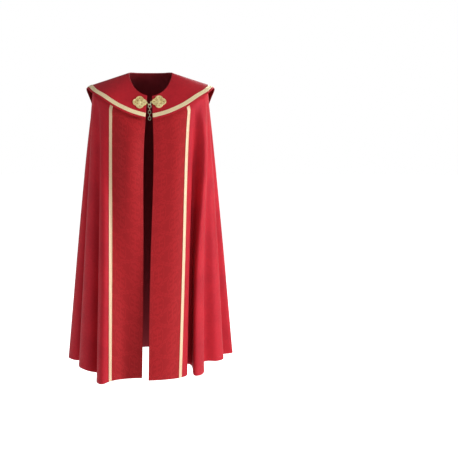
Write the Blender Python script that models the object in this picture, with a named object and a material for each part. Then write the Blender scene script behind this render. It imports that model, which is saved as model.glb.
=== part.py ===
"""Cope: a long open vestment of heavy cloth, worn by a general figure and hollow inside.

Metres, +Z up, front towards -Y, +X to the viewer's right. The origin is the middle of the neck
opening, where the wearer holds the garment up. Angles round the figure start at the front and run
by -X (90), the back (180) and +X (270).
"""

import math
from collections import namedtuple

import bpy
import numpy as np
from mathutils import Matrix, Vector

# ---------------------------------------------------------------- driving sizes
CLOTH = 0.0020  # wall of the main cloth and of the front bands
HOOD_CLOTH = 0.0022  # wall of the interlined hood
BRAID_THICK = 0.0010
BRAID_WIDTH = 0.0150
HOOD_BRAID_WIDTH = 0.0190
BRAID_MARGIN = 0.0085  # plain cloth between the hood's edge and its braid
SEAM = 0.0003  # gap between sewn pieces
HOOD_EASE = 0.0008  # gap between the hood and the cloth at the neckline

# A cut laid on the shoulders. By angle, it starts at the neckline (reach, height), runs down a
# slope in degrees for a length, turns on a radius, and then hangs at the end slope.
Cut = namedtuple("Cut", "angle reach height slope run turn end")
COPE_CUT = [
    Cut(0, 0.098, -0.058, 66.0, 0.060, 0.100, 84.0),
    Cut(22, 0.100, -0.048, 60.0, 0.070, 0.100, 84.0),
    Cut(45, 0.099, -0.021, 44.0, 0.095, 0.085, 84.0),
    Cut(70, 0.098, 0.022, 26.0, 0.135, 0.055, 84.0),
    Cut(90, 0.098, 0.050, 19.5, 0.148, 0.042, 84.5),
    Cut(110, 0.095, 0.056, 22.0, 0.136, 0.048, 84.0),
    Cut(135, 0.087, 0.057, 32.0, 0.105, 0.075, 82.0),
    Cut(180, 0.072, 0.058, 50.0, 0.080, 0.120, 80.0),
]
HOOD_CUT = [
    Cut(0, 0.098, -0.058, 64.0, 0.200, 0.100, 84.0),
    Cut(22, 0.100, -0.048, 58.0, 0.200, 0.100, 84.0),
    Cut(45, 0.099, -0.021, 42.0, 0.200, 0.085, 84.0),
    Cut(70, 0.098, 0.022, 24.0, 0.200, 0.060, 84.0),
    Cut(90, 0.098, 0.050, 18.0, 0.184, 0.042, 84.0),
    Cut(110, 0.095, 0.056, 20.5, 0.153, 0.050, 81.5),
    Cut(135, 0.087, 0.057, 31.0, 0.112, 0.078, 80.0),
    Cut(180, 0.072, 0.058, 49.0, 0.085, 0.124, 79.0),
]

# The hem's outline without folds, by angle: every ridge of a fold touches it from within. With an
# onset under 1, the cloth stands out, or its folds open, early below the shoulders.
Flare = namedtuple("Flare", "angle reach onset folds_onset")
FLARES = [
    Flare(0, 0.245, 1.00, 0.85),
    Flare(30, 0.275, 1.00, 1.30),
    Flare(60, 0.350, 0.92, 0.85),
    Flare(90, 0.392, 0.87, 0.85),
    Flare(135, 0.400, 0.97, 1.25),
    Flare(180, 0.365, 1.00, 1.40),
]

# Lines that run down the cloth from the shoulders: the angle where each starts, and where it ends
# in the hem. Ridges stand out and valleys lie back, so each fold is a ridge between two valleys.
# Under the shoulders a line bows by its sway to +X and by its set_back to +Y.
Line = namedtuple("Line", "name angle x y z sway set_back", defaults=[0.0, 0.0])
LINES = [
    Line("edge_left", 9.0, -0.037, -0.205, -1.300, -0.008, -0.018),
    Line("panel_left", 32.0, -0.103, -0.192, -1.306, -0.004, -0.024),
    Line("seam_left", 55.0, -0.177, -0.235, -1.308, -0.001, 0.011),
    Line("ridge_1", 62.0, -0.212, -0.262, -1.314, -0.003, 0.010),
    Line("ridge_1_side", 66.5, -0.234, -0.228, -1.313, 0.0, 0.004),
    Line("valley_1", 71.0, -0.208, -0.140, -1.302),
    Line("ridge_2", 76.5, -0.283, -0.152, -1.279),
    Line("ridge_2_side", 81.0, -0.322, -0.092, -1.272),
    Line("valley_2", 85.5, -0.284, -0.012, -1.268),
    Line("ridge_3", 90.0, -0.348, -0.012, -1.262),
    Line("ridge_3_side", 95.5, -0.379, 0.048, -1.259),
    Line("valley_3", 103.0, -0.268, 0.084, -1.264),
    Line("ridge_4", 111.0, -0.372, 0.162, -1.262),
    Line("ridge_4_side", 117.0, -0.345, 0.232, -1.262),
    Line("valley_4", 126.0, -0.236, 0.168, -1.264),
    Line("ridge_5", 136.0, -0.226, 0.318, -1.268),
    Line("ridge_5_side", 145.0, -0.160, 0.345, -1.270),
    Line("valley_5", 157.0, -0.098, 0.206, -1.273),
    Line("ridge_6", 170.0, -0.034, 0.352, -1.276),
    Line("ridge_6_side", 183.0, 0.044, 0.352, -1.276),
    Line("valley_6", 195.0, 0.104, 0.202, -1.274),
    Line("ridge_7", 207.0, 0.152, 0.340, -1.272),
    Line("ridge_7_side", 216.0, 0.220, 0.312, -1.268),
    Line("valley_7", 226.0, 0.226, 0.168, -1.262),
    Line("ridge_8", 235.0, 0.318, 0.246, -1.258),
    Line("ridge_8_side", 243.0, 0.354, 0.188, -1.254),
    Line("valley_8", 249.0, 0.270, 0.110, -1.256),
    Line("ridge_9", 256.0, 0.362, 0.126, -1.250),
    Line("ridge_9_side", 263.0, 0.383, 0.076, -1.247),
    Line("valley_9", 268.0, 0.320, 0.044, -1.252),
    Line("ridge_10_side", 273.0, 0.334, -0.010, -1.257),
    Line("ridge_10", 278.0, 0.306, -0.046, -1.259, 0.004, -0.001),
    Line("valley_10", 284.0, 0.240, -0.058, -1.262, 0.012, -0.005),
    Line("ridge_11_side", 288.5, 0.238, -0.118, -1.296, 0.020, -0.008),
    Line("ridge_11", 292.5, 0.206, -0.160, -1.301, 0.030, -0.012),
    Line("valley_11", 299.0, 0.172, -0.055, -1.271, 0.006, -0.003),
    Line("ridge_12", 302.7, 0.154, -0.176, -1.299, -0.001),
    Line("seam_right", 306.3, 0.130, -0.196, -1.301, -0.004),
    Line("panel_right", 331.0, 0.060, -0.230, -1.302, 0.004),
    Line("edge_right", 356.0, -0.008, -0.242, -1.303, 0.009),
]

# Depth of the hood from neckline to edge, by angle; both halves are cut alike.
Depth = namedtuple("Depth", "angle depth")
HOOD_DEPTHS = [
    Depth(0, 0.117),
    Depth(20, 0.121),
    Depth(40, 0.138),
    Depth(60, 0.164),
    Depth(75, 0.190),
    Depth(89, 0.205),
    Depth(98, 0.224),
    Depth(108, 0.268),
    Depth(122, 0.385),
    Depth(140, 0.510),
    Depth(153, 0.545),
    Depth(166, 0.572),
    Depth(180, 0.606),
]

# How finely the walls are cut up.
MAIN_COLUMNS = 122
BAND_COLUMNS = 9
YOKE_RINGS = 3
TURN_RINGS = 3
HANG_RINGS = 11
HOOD_COLUMNS = 37
HOOD_TURN = (0.0, 0.35, 0.60, 0.70, 0.80, 0.90)  # shares of the way to where it hangs
HOOD_HANG_RINGS = 4

# Clasp
PLATE_HALF = 0.0315  # middle to the tip of a lobe
PLATE_THICK = 0.0026
PLATE_LOBE = 0.0175
PLATE_HOLE = 0.0026
PLATE_CENTRES = {"left": (-0.0485, -0.087), "right": (0.0385, -0.084)}  # x and z
LUG = 0.0042  # radius of the lug on the right plate that carries the chain
LUG_EYE = 0.0023
LUG_OUT = 0.0028  # from the plate's lobe to the middle of the lug's eye
LINK_LENGTH = 0.0180
LINK_WIDTH = 0.0140
LINK_WIRE = 0.0020
LINK_PLAY = 0.0003
LINK_POINTS = 14
FIRST_LINK_LEAN = 24.0  # degrees that the link in the eye leans to the left
TAIL_LINKS = 4
HOOK_WIRE = 0.0024
HOOK_LEAN = 40.0  # degrees from upright at which the hook meets the second link

RED = (0.42, 0.012, 0.020)
DAMASK_RED = (0.36, 0.010, 0.016)
GOLD_THREAD = (0.78, 0.62, 0.34)
GOLD_METAL = (0.80, 0.62, 0.28)
CHAIN_METAL = (0.80, 0.74, 0.58)


# ---------------------------------------------------------------- curves and surfaces
def through(knots, values, at, rounded=False):
    """A smooth curve through values at knots, read at other places. A rounded one keeps its speed
    at the knots, so that a zigzag of points becomes a row of full folds."""
    knots, values, at = (np.asarray(given, float) for given in (knots, values, at))
    flat = (1,) * (values.ndim - 1)
    steps = np.diff(knots).reshape(-1, *flat)
    rises = np.diff(values, axis=0) / steps
    slopes = np.empty_like(values)
    slopes[0], slopes[-1] = rises[0], rises[-1]
    slopes[1:-1] = (rises[:-1] * steps[1:] + rises[1:] * steps[:-1]) / (steps[:-1] + steps[1:])
    if rounded:
        slopes /= np.linalg.norm(slopes, axis=-1, keepdims=True)
    i = np.clip(np.searchsorted(knots, at, side="right") - 1, 0, len(steps) - 1)
    step = steps[i]
    f = (at - knots[i]).reshape(at.shape + flat) / step.reshape(at.shape + flat)
    step = step.reshape(f.shape)
    return (
        values[i] * (1 + 2 * f) * (1 - f) ** 2
        + slopes[i] * step * f * (1 - f) ** 2
        + values[i + 1] * f**2 * (3 - 2 * f)
        + slopes[i + 1] * step * f**2 * (f - 1)
    )


def by_angle(rows, size, angle, pointed=False):
    """A size from a table of the first half of the figure, which the second half mirrors. A
    pointed one comes to a point at the back."""
    knots = np.radians([row.angle for row in rows])
    values = np.array([getattr(row, size) for row in rows])
    if not pointed:
        knots = np.concatenate([-knots[1:2], knots, 2 * math.pi - knots[-2:-1]])
        values = np.concatenate([values[1:2], values, values[-2:-1]])
    return through(knots, values, math.pi - np.abs(math.pi - angle))


def outward(angle):
    return np.stack([-np.sin(angle), -np.cos(angle), np.zeros_like(angle)], axis=-1)


def laid(cut, angle, along, lift=0.0):
    """Points of a cut laid on the shoulders, a length along it from the neckline."""
    part = {size: by_angle(cut, size, angle) for size in Cut._fields[1:]}
    slope, end = np.radians(part["slope"]), np.radians(part["end"])
    on_slope = np.minimum(along, part["run"])
    turned = np.minimum(np.maximum(along - part["run"], 0) / part["turn"], end - slope)
    hanging = np.maximum(along - part["run"] - part["turn"] * (end - slope), 0)
    out = (
        part["reach"]
        + on_slope * np.cos(slope)
        + part["turn"] * (np.sin(slope + turned) - np.sin(slope))
        + hanging * np.cos(end)
    )
    down = (
        on_slope * np.sin(slope)
        + part["turn"] * (np.cos(slope) - np.cos(slope + turned))
        + hanging * np.sin(end)
    )
    points = outward(angle) * (out + lift * np.sin(slope + turned))[..., None]
    points[..., 2] = part["height"] - down + lift * np.cos(slope + turned)
    return points


HEM = np.array([(line.x, line.y, line.z) for line in LINES])
HEM_PLACES = np.concatenate([[0], np.cumsum(np.linalg.norm(np.diff(HEM, axis=0), axis=1))])
LINE_ANGLES = np.radians([line.angle for line in LINES])
PLACE = {line.name: place for line, place in zip(LINES, HEM_PLACES)}
SWAYS = np.array([(line.sway, line.set_back, 0) for line in LINES])


def cope_point(place, level):
    """A point of the cope's cloth. place is metres round the hem from the left front edge.
    level is 0 at the neckline, 1 at the shoulders' turn, 2 where it hangs, and 3 at the hem."""
    angle = through(HEM_PLACES, LINE_ANGLES, place)
    hem = through(HEM_PLACES, HEM, place, rounded=True)
    run, slope, turn, end = (
        by_angle(COPE_CUT, size, angle) for size in ("run", "slope", "turn", "end")
    )
    along = run * np.minimum(level, 1) + turn * np.radians(end - slope) * np.clip(level - 1, 0, 1)
    points = laid(COPE_CUT, angle, along)
    fall = np.clip(level - 2, 0, 1)[..., None]
    smooth_hem = outward(angle) * by_angle(FLARES, "reach", angle)[..., None]
    smooth_hem[..., 2] = hem[..., 2]
    folds = hem - smooth_hem
    onset, folds_onset = (
        by_angle(FLARES, size, angle)[..., None] for size in ("onset", "folds_onset")
    )
    flare = np.concatenate([fall**onset, fall**onset, fall], axis=-1)
    points = points + (smooth_hem - points) * flare + folds * fall**folds_onset
    return points + through(HEM_PLACES, SWAYS, place) * 12.2 * fall * (1 - fall) ** 4


def stretch(place, level, step=0.001):
    """How far cloth at this level moves for each metre of place round the hem."""
    there = cope_point(place + step, level)
    here = cope_point(place - step, level)
    return np.linalg.norm(there - here, axis=-1) / (2 * step)


def normals(points):
    """Outward unit normals of a grid of points, whose rows run down and columns run by the back."""
    down = np.gradient(points, axis=0)
    round_it = np.gradient(points, axis=1)
    across = np.cross(round_it, down)
    return across / np.linalg.norm(across, axis=-1, keepdims=True)


# ---------------------------------------------------------------- making solids
def material(name, colour, roughness, metallic=0.0):
    made = bpy.data.materials.new(name)
    made.use_nodes = True
    shader = made.node_tree.nodes["Principled BSDF"]
    shader.inputs["Base Color"].default_value = (*colour, 1)
    shader.inputs["Roughness"].default_value = roughness
    shader.inputs["Metallic"].default_value = metallic
    return made


def show(name, data, finish, smooth=True):
    made = bpy.data.objects.new(name, data)
    bpy.context.scene.collection.objects.link(made)
    data.materials.append(finish)
    if smooth and isinstance(data, bpy.types.Mesh):
        data.shade_smooth()
        data.set_sharp_from_angle(angle=math.radians(50))
    return made


def wall(name, inner, outer, finish):
    """A closed wall between two grids of points of the same size."""
    rows, columns = outer.shape[:2]
    count = rows * columns
    grid = np.arange(count).reshape(rows, columns)
    faces = []
    for r in range(rows - 1):
        for c in range(columns - 1):
            a, b = grid[r, c], grid[r, c + 1]
            d, e = grid[r + 1, c], grid[r + 1, c + 1]
            faces.append((a, b, e, d))
            faces.append((a + count, d + count, e + count, b + count))
    for c in range(columns - 1):
        top_a, top_b = grid[0, c], grid[0, c + 1]
        low_a, low_b = grid[-1, c], grid[-1, c + 1]
        faces.append((top_b, top_a, top_a + count, top_b + count))
        faces.append((low_a, low_b, low_b + count, low_a + count))
    for r in range(rows - 1):
        left_a, left_b = grid[r, 0], grid[r + 1, 0]
        right_a, right_b = grid[r, -1], grid[r + 1, -1]
        faces.append((left_a, left_b, left_b + count, left_a + count))
        faces.append((right_b, right_a, right_a + count, right_b + count))
    mesh = bpy.data.meshes.new(name)
    vertices = np.concatenate([outer.reshape(-1, 3), inner.reshape(-1, 3)])
    mesh.from_pydata(vertices.tolist(), [], [tuple(int(i) for i in face) for face in faces])
    return show(name, mesh, finish)


def cloth(name, points, thick, finish, raised=0.0):
    """A wall on a grid of points, its middle raised from them along their normals."""
    across = normals(points)
    return wall(
        name,
        points + across * (raised - thick / 2),
        points + across * (raised + thick / 2),
        finish,
    )


# ---------------------------------------------------------------- main cloth and front bands
def levels():
    yoke = np.linspace(0, 1, YOKE_RINGS, endpoint=False)
    turn = np.linspace(1, 2, TURN_RINGS, endpoint=False)
    hang = np.linspace(2, 3, HANG_RINGS)
    return np.concatenate([yoke, turn, hang])


def beside(line, distance, level):
    """Places at a distance along the cloth from one of its lines, at each level."""
    place = np.full_like(level, PLACE[line])
    return place + distance / stretch(place, level)


def make_main_cloth(finish):
    level = levels()
    first = beside("seam_left", SEAM / 2, level)
    under_first = beside("seam_left", BRAID_WIDTH / 2, level)
    under_last = beside("seam_right", -BRAID_WIDTH / 2, level)
    last = beside("seam_right", -SEAM / 2, level)
    share = np.linspace(0, 1, MAIN_COLUMNS)
    between = under_first[:, None] + (under_last - under_first)[:, None] * share
    place = np.concatenate([first[:, None], between, last[:, None]], axis=1)
    points = cope_point(place, np.broadcast_to(level[:, None], place.shape))
    return cloth("main_cloth", points, CLOTH, finish)


def make_band(side, finish):
    """A front band, from the garment's edge to its seam with the main cloth."""
    level = levels()
    share = np.linspace(0, 1, BAND_COLUMNS)
    if side == "left":
        edge = np.full_like(level, 0.0)
        near = beside("seam_left", -BRAID_WIDTH / 2, level)
        seam = beside("seam_left", -SEAM / 2, level)
        across = edge[:, None] + (near - edge)[:, None] * share
        place = np.concatenate([across, seam[:, None]], axis=1)
    else:
        edge = np.full_like(level, HEM_PLACES[-1])
        near = beside("seam_right", BRAID_WIDTH / 2, level)
        seam = beside("seam_right", SEAM / 2, level)
        across = near[:, None] + (edge - near)[:, None] * share
        place = np.concatenate([seam[:, None], across], axis=1)
    points = cope_point(place, np.broadcast_to(level[:, None], place.shape))
    return cloth(f"front_band_{side}", points, CLOTH, finish)


def make_band_braid(side, finish):
    """Braid sewn over the seam between a front band and the main cloth."""
    level = levels()[YOKE_RINGS:]
    half = BRAID_WIDTH / 2
    columns = [beside(f"seam_{side}", distance, level) for distance in (-half, 0.0, half)]
    place = np.stack(columns, axis=1)
    points = cope_point(place, np.broadcast_to(level[:, None], place.shape))
    raised = CLOTH / 2 + SEAM + BRAID_THICK / 2
    return cloth(f"front_braid_{side}", points, BRAID_THICK, finish, raised)


# ---------------------------------------------------------------- hood
HOOD_LIFT = CLOTH / 2 + HOOD_EASE + HOOD_CLOTH / 2


def inside_edge(distance, angle):
    """Length along the hood's cut, at an angle of its first half, of a line that keeps a distance
    from the hood's edge."""
    edge_angle = np.linspace(0, math.pi, 1441)
    depth = by_angle(HOOD_DEPTHS, "depth", edge_angle, pointed=True)
    edge = laid(HOOD_CUT, edge_angle, depth)
    aside = np.hypot(edge[:, 0], edge[:, 1]) * (edge_angle - angle[:, None])
    above = np.sqrt(np.maximum(distance**2 - aside**2, 0))
    return np.where(np.abs(aside) < distance, depth - above, np.inf).min(axis=1)


def hood_angles():
    """Columns of the hood from its left front edge by the back to the right one."""
    left = np.linspace(LINE_ANGLES[0], math.pi, HOOD_COLUMNS)
    right = np.linspace(math.pi, LINE_ANGLES[-1], HOOD_COLUMNS)
    return np.concatenate([left, right[1:]])


def hood_lengths(angle):
    """Lengths along each column of the hood: plain cloth, the braid's two edges, and the edge."""
    half = math.pi - np.abs(math.pi - angle)
    inner = inside_edge(BRAID_MARGIN + HOOD_BRAID_WIDTH, half)
    outer = inside_edge(BRAID_MARGIN, half)
    run, slope, turn, end = (
        by_angle(HOOD_CUT, size, angle) for size in ("run", "slope", "turn", "end")
    )
    hang = np.minimum(run + turn * np.radians(end - slope), 0.6 * inner)
    laid_rows = np.array(HOOD_TURN)[:, None] * hang
    hang_rows = hang + np.linspace(0, 1, HOOD_HANG_RINGS)[:, None] * (inner - hang)
    edge = by_angle(HOOD_DEPTHS, "depth", angle, pointed=True)
    return np.concatenate([laid_rows, hang_rows, [(inner + outer) / 2, outer, edge]])


def hood_points():
    angle = hood_angles()
    along = hood_lengths(angle)
    return laid(HOOD_CUT, np.broadcast_to(angle, along.shape), along, HOOD_LIFT)


def make_hood(finish):
    return cloth("hood", hood_points(), HOOD_CLOTH, finish)


def make_hood_braid(side, finish):
    """Braid round the hood: two lengths that meet in a mitre at the point of the back."""
    points = hood_points()
    across = normals(points)
    rows = slice(-4, -1)
    columns = slice(0, HOOD_COLUMNS) if side == "left" else slice(HOOD_COLUMNS - 1, None)
    raised = HOOD_CLOTH / 2 + SEAM + BRAID_THICK / 2
    middle = (points + across * raised)[rows, columns].copy()
    mitre = -1 if side == "left" else 0
    middle[:, mitre, 0] += -SEAM / 2 if side == "left" else SEAM / 2
    half = across[rows, columns] * BRAID_THICK / 2
    return wall(f"hood_braid_{side}", middle - half, middle + half, finish)


# ---------------------------------------------------------------- clasp
def hood_front(x, z):
    """The hood's outer face and its normal at a place on the chest seen from the front."""
    guess = np.array([math.atan2(-x, 0.13) % (2 * math.pi), 0.05])
    for _ in range(12):
        here = laid(HOOD_CUT, guess[0], guess[1], HOOD_LIFT + HOOD_CLOTH / 2)
        turn = laid(HOOD_CUT, guess[0] + 1e-4, guess[1], HOOD_LIFT + HOOD_CLOTH / 2)
        slide = laid(HOOD_CUT, guess[0], guess[1] + 1e-4, HOOD_LIFT + HOOD_CLOTH / 2)
        change = np.stack([(turn - here) / 1e-4, (slide - here) / 1e-4], axis=1)
        missing = np.array([x - here[0], z - here[2]])
        guess = guess + np.linalg.solve(change[[0, 2]], missing)
    across = np.cross(change[:, 0], change[:, 1])
    return Vector(here), Vector(across / np.linalg.norm(across))


def arc(middle, radius, start, end, count):
    """Points of an arc whose centre is on the X axis, the last one left out."""
    turns = [start + (end - start) * i / count for i in range(count)]
    return [(middle + radius * math.cos(turn), radius * math.sin(turn)) for turn in turns]


def turned_about(points, angle):
    across, along = math.sin(angle), math.cos(angle)
    return [(x * along - y * across, x * across + y * along) for x, y in points]


def plate_outline(with_lug):
    """A lozenge whose four corners are round lobes that meet in notches. The lug, if any, stands
    out of the lobe at -X."""
    middle = PLATE_HALF - PLATE_LOBE
    notch = math.pi / 4 + math.asin(middle / (PLATE_LOBE * math.sqrt(2)))
    lobe = arc(middle, PLATE_LOBE, -notch, notch, 8)
    apart = LUG_OUT + PLATE_LOBE
    root = (apart**2 + PLATE_LOBE**2 - LUG**2) / (2 * apart)
    rise = math.sqrt(PLATE_LOBE**2 - root**2)
    at_lobe, at_lug = math.atan2(rise, root), math.atan2(rise, root - apart)
    lugged = (
        arc(middle, PLATE_LOBE, -notch, -at_lobe, 3)
        + arc(PLATE_HALF + LUG_OUT, LUG, -at_lug, at_lug, 9)
        + arc(middle, PLATE_LOBE, at_lobe, notch, 3)
    )
    outline = []
    for corner in range(4):
        shape = lugged if with_lug and corner == 2 else lobe
        outline += turned_about(shape, math.pi / 2 * corner)
    return outline


def plate_holes(with_lug):
    """The pierced work of a plate, and the lug's eye."""
    holes = []
    for i in range(8):
        reach = 0.0195 if i % 2 == 0 else 0.0125
        holes.append(turned_about(arc(reach, PLATE_HOLE, 0, 2 * math.pi, 8), math.pi / 4 * i))
    if with_lug:
        eye = arc(PLATE_HALF + LUG_OUT, LUG_EYE, 0, 2 * math.pi, 10)
        holes.append(turned_about(eye, math.pi))
    return holes


def plate_frame(side):
    """Where a plate lies: flat on the highest cloth under it, its Z off the cloth."""
    point, off = hood_front(*PLATE_CENTRES[side])
    right = Vector((1, 0, 0))
    right = (right - off * right.dot(off)).normalized()
    up = off.cross(right)
    highest = 0.0
    for x, y in plate_outline(False):
        under = point + right * x + up * y
        highest = max(highest, (hood_front(under.x, under.z)[0] - point).dot(off))
    middle = point + off * (highest + SEAM + PLATE_THICK / 2)
    return Matrix.Translation(middle) @ Matrix((right, up, off)).transposed().to_4x4()


def make_plate(side, finish):
    curve = bpy.data.curves.new(f"clasp_plate_{side}", "CURVE")
    curve.dimensions = "2D"
    curve.fill_mode = "BOTH"
    curve.extrude = PLATE_THICK / 2
    with_lug = side == "right"
    for outline in [plate_outline(with_lug), *plate_holes(with_lug)]:
        spline = curve.splines.new("POLY")
        spline.points.add(len(outline) - 1)
        for point, (x, y) in zip(spline.points, outline):
            point.co = (x, y, 0, 1)
        spline.use_cyclic_u = True
    made = show(f"clasp_plate_{side}", curve, finish)
    made.matrix_world = plate_frame(side)
    return made


def tube(name, path, thick, finish, closed):
    """A round wire along a path of points."""
    curve = bpy.data.curves.new(name, "CURVE")
    curve.dimensions = "3D"
    curve.bevel_depth = thick / 2
    curve.bevel_resolution = 1
    curve.use_fill_caps = not closed
    spline = curve.splines.new("POLY")
    spline.points.add(len(path) - 1)
    for point, place in zip(spline.points, path):
        point.co = (*place, 1)
    spline.use_cyclic_u = closed
    return show(name, curve, finish)


X_WAY, Y_WAY, Z_WAY = Vector((1, 0, 0)), Vector((0, 1, 0)), Vector((0, 0, 1))
LINK_STRAIGHT = (LINK_LENGTH - LINK_WIDTH) / 2
LINK_BEND = (LINK_WIDTH - LINK_WIRE) / 2
LINK_HALF = LINK_STRAIGHT + LINK_BEND  # middle to the wire's middle at an end
LINK_CATCH = LINK_WIRE + LINK_PLAY  # between the wires of two links that hold each other


def on_link(lean):
    """From a face-on link's middle to its wire, at a lean in degrees from its top to the right."""
    turn = math.radians(lean)
    return Vector((LINK_BEND * math.sin(turn), 0, LINK_STRAIGHT + LINK_BEND * math.cos(turn)))


def make_link(number, middle, along, across, finish):
    """An oval link, long one way and narrow the other."""
    path = []
    for i in range(LINK_POINTS):
        turn = 2 * math.pi * (i + 0.5) / LINK_POINTS
        run = LINK_BEND * math.cos(turn) + math.copysign(LINK_STRAIGHT, math.cos(turn))
        path.append(middle + along * run + across * LINK_BEND * math.sin(turn))
    tube(f"chain_link_{number}", path, LINK_WIRE, finish, True)


def make_clasp(finish, chain_finish):
    """Two plates on the hood. The chain starts in the right plate's eye, the left plate's hook
    catches its second link, and the rest of it hangs as a tail."""
    for side in ("left", "right"):
        make_plate(side, finish)
    frame = plate_frame("right")
    eye = frame @ Vector((-PLATE_HALF - LUG_OUT, 0, 0))
    lean = math.radians(FIRST_LINK_LEAN)
    along = frame.to_3x3() @ Vector((-math.sin(lean), -math.cos(lean), 0))
    held = eye + along * (LUG_EYE - LINK_WIRE / 2 - LINK_PLAY)
    make_link(1, held + along * LINK_HALF, along, frame.to_3x3() @ Z_WAY, chain_finish)
    second = held + along * (2 * LINK_HALF - LINK_CATCH) - on_link(FIRST_LINK_LEAN)
    make_link(2, second, Z_WAY, X_WAY, chain_finish)
    pitch = 2 * LINK_HALF - LINK_CATCH
    for i in range(1, TAIL_LINKS + 1):
        across = X_WAY if i % 2 == 0 else Y_WAY
        make_link(i + 2, second - Z_WAY * pitch * i, Z_WAY, across, chain_finish)
    make_hook(second + on_link(-HOOK_LEAN), finish)


def make_hook(caught, finish):
    """The hook starts at the left plate's lobe, passes behind a link's wire and bends round it."""
    lean = math.radians(HOOK_LEAN)
    onward = Vector((math.sin(lean), 0, -math.cos(lean)))
    clear = (LINK_WIRE + HOOK_WIRE) / 2 + LINK_PLAY
    root = plate_frame("left") @ Vector((PLATE_HALF + HOOK_WIRE / 2 + SEAM, 0, 0))
    steps = 6
    bend = [
        caught + (onward * math.sin(turn) + Y_WAY * math.cos(turn)) * clear
        for turn in [math.pi * i / steps for i in range(steps + 1)]
    ]
    tip = bend[-1] - onward * 0.0035
    tube("clasp_hook", [root, *bend, tip], HOOK_WIRE, finish, False)


def main():
    for old in list(bpy.data.objects):
        bpy.data.objects.remove(old, do_unlink=True)
    red = material("red_cloth", RED, 0.75)
    damask = material("damask", DAMASK_RED, 0.60)
    gold = material("gold_braid", GOLD_THREAD, 0.45, 0.3)
    metal = material("gold_metal", GOLD_METAL, 0.30, 1.0)
    wire = material("chain_metal", CHAIN_METAL, 0.25, 1.0)
    make_main_cloth(red)
    make_hood(red)
    for side in ("left", "right"):
        make_band(side, damask)
        make_band_braid(side, gold)
        make_hood_braid(side, gold)
    make_clasp(metal, wire)


main()
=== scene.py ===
"""A cope: a long open vestment of plain red cloth, worn by a general figure and hollow inside.

Metres, +Z up, front towards -Y. Angles round the figure start at the front and run by -X (90),
the back (180) and +X (270).
"""

import math
from collections import namedtuple

import bpy
import numpy as np
from mathutils import Matrix, Vector


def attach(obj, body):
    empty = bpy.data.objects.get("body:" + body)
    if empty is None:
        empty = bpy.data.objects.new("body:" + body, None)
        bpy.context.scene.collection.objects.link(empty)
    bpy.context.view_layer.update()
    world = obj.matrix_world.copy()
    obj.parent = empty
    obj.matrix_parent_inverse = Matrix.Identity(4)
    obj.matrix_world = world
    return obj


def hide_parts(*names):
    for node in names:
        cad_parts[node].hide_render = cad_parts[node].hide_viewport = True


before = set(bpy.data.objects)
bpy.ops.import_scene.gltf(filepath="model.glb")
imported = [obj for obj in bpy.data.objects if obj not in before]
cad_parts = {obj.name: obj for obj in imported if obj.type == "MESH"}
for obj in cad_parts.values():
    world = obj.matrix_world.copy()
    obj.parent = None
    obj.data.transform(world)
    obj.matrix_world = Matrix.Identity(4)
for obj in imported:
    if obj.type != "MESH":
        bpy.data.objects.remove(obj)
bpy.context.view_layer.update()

# ---------------------------------------------------------------- main cloth
# The body of the cope: one wide sector of plain red cloth with a soft sheen, cut from wide goods.
# It is laid on the shoulders, falls in deep soft folds, and its hem is turned up and stitched.
CLOTH = 0.0020
SEAM = 0.0003
HEM_TURN = 0.014  # depth of the turned hem
HEM_SWELL = 0.0004  # how far the turned hem stands out
HEM_ROWS = np.array([1.12, 1.0, 0.88, 0.4, 0.12, 0.0])  # as shares of its depth, up from the edge
MAIN_COLUMNS = 372
YOKE_ROWS, TURN_ROWS, HANG_ROWS = 12, 14, 84
NECK_ROW = 0.004  # level of the row close to the neckline, which keeps its rim firm
NECK_CUT = 0.27  # radius of the neckline in the flat cut
HEM_CUT = 1.64  # radius of the hem in the flat cut
RIM_ROUND = 0.35  # how far a wall's rim bulges, as a share of its thickness
SWAY_SCALE = 12.2  # makes a line's sway the greatest distance that it bows

# The cloth on the shoulders, at angles round the figure: how far out and how high its neckline
# is, its slope and run from there, the radius of its turn over the shoulder, and its slope below.
Profile = namedtuple("Profile", "angle reach height slope run turn end")
COPE_PROFILE = [
    Profile(0, 0.098, -0.058, 66.0, 0.060, 0.100, 84.0),
    Profile(22, 0.100, -0.048, 60.0, 0.070, 0.100, 84.0),
    Profile(45, 0.099, -0.021, 44.0, 0.095, 0.085, 84.0),
    Profile(70, 0.098, 0.022, 26.0, 0.135, 0.055, 84.0),
    Profile(90, 0.098, 0.050, 19.5, 0.148, 0.042, 84.5),
    Profile(110, 0.095, 0.056, 22.0, 0.136, 0.048, 84.0),
    Profile(135, 0.087, 0.057, 32.0, 0.105, 0.075, 82.0),
    Profile(180, 0.072, 0.058, 50.0, 0.080, 0.120, 80.0),
]
# How far out the hem is without its folds, and how late the flare and the folds set in.
Flare = namedtuple("Flare", "angle reach onset folds_onset")
FLARES = [
    Flare(0, 0.245, 1.00, 0.85),
    Flare(30, 0.275, 1.00, 1.30),
    Flare(60, 0.350, 0.92, 0.85),
    Flare(90, 0.392, 0.87, 0.85),
    Flare(135, 0.400, 0.97, 1.25),
    Flare(180, 0.365, 1.00, 1.40),
]
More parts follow.
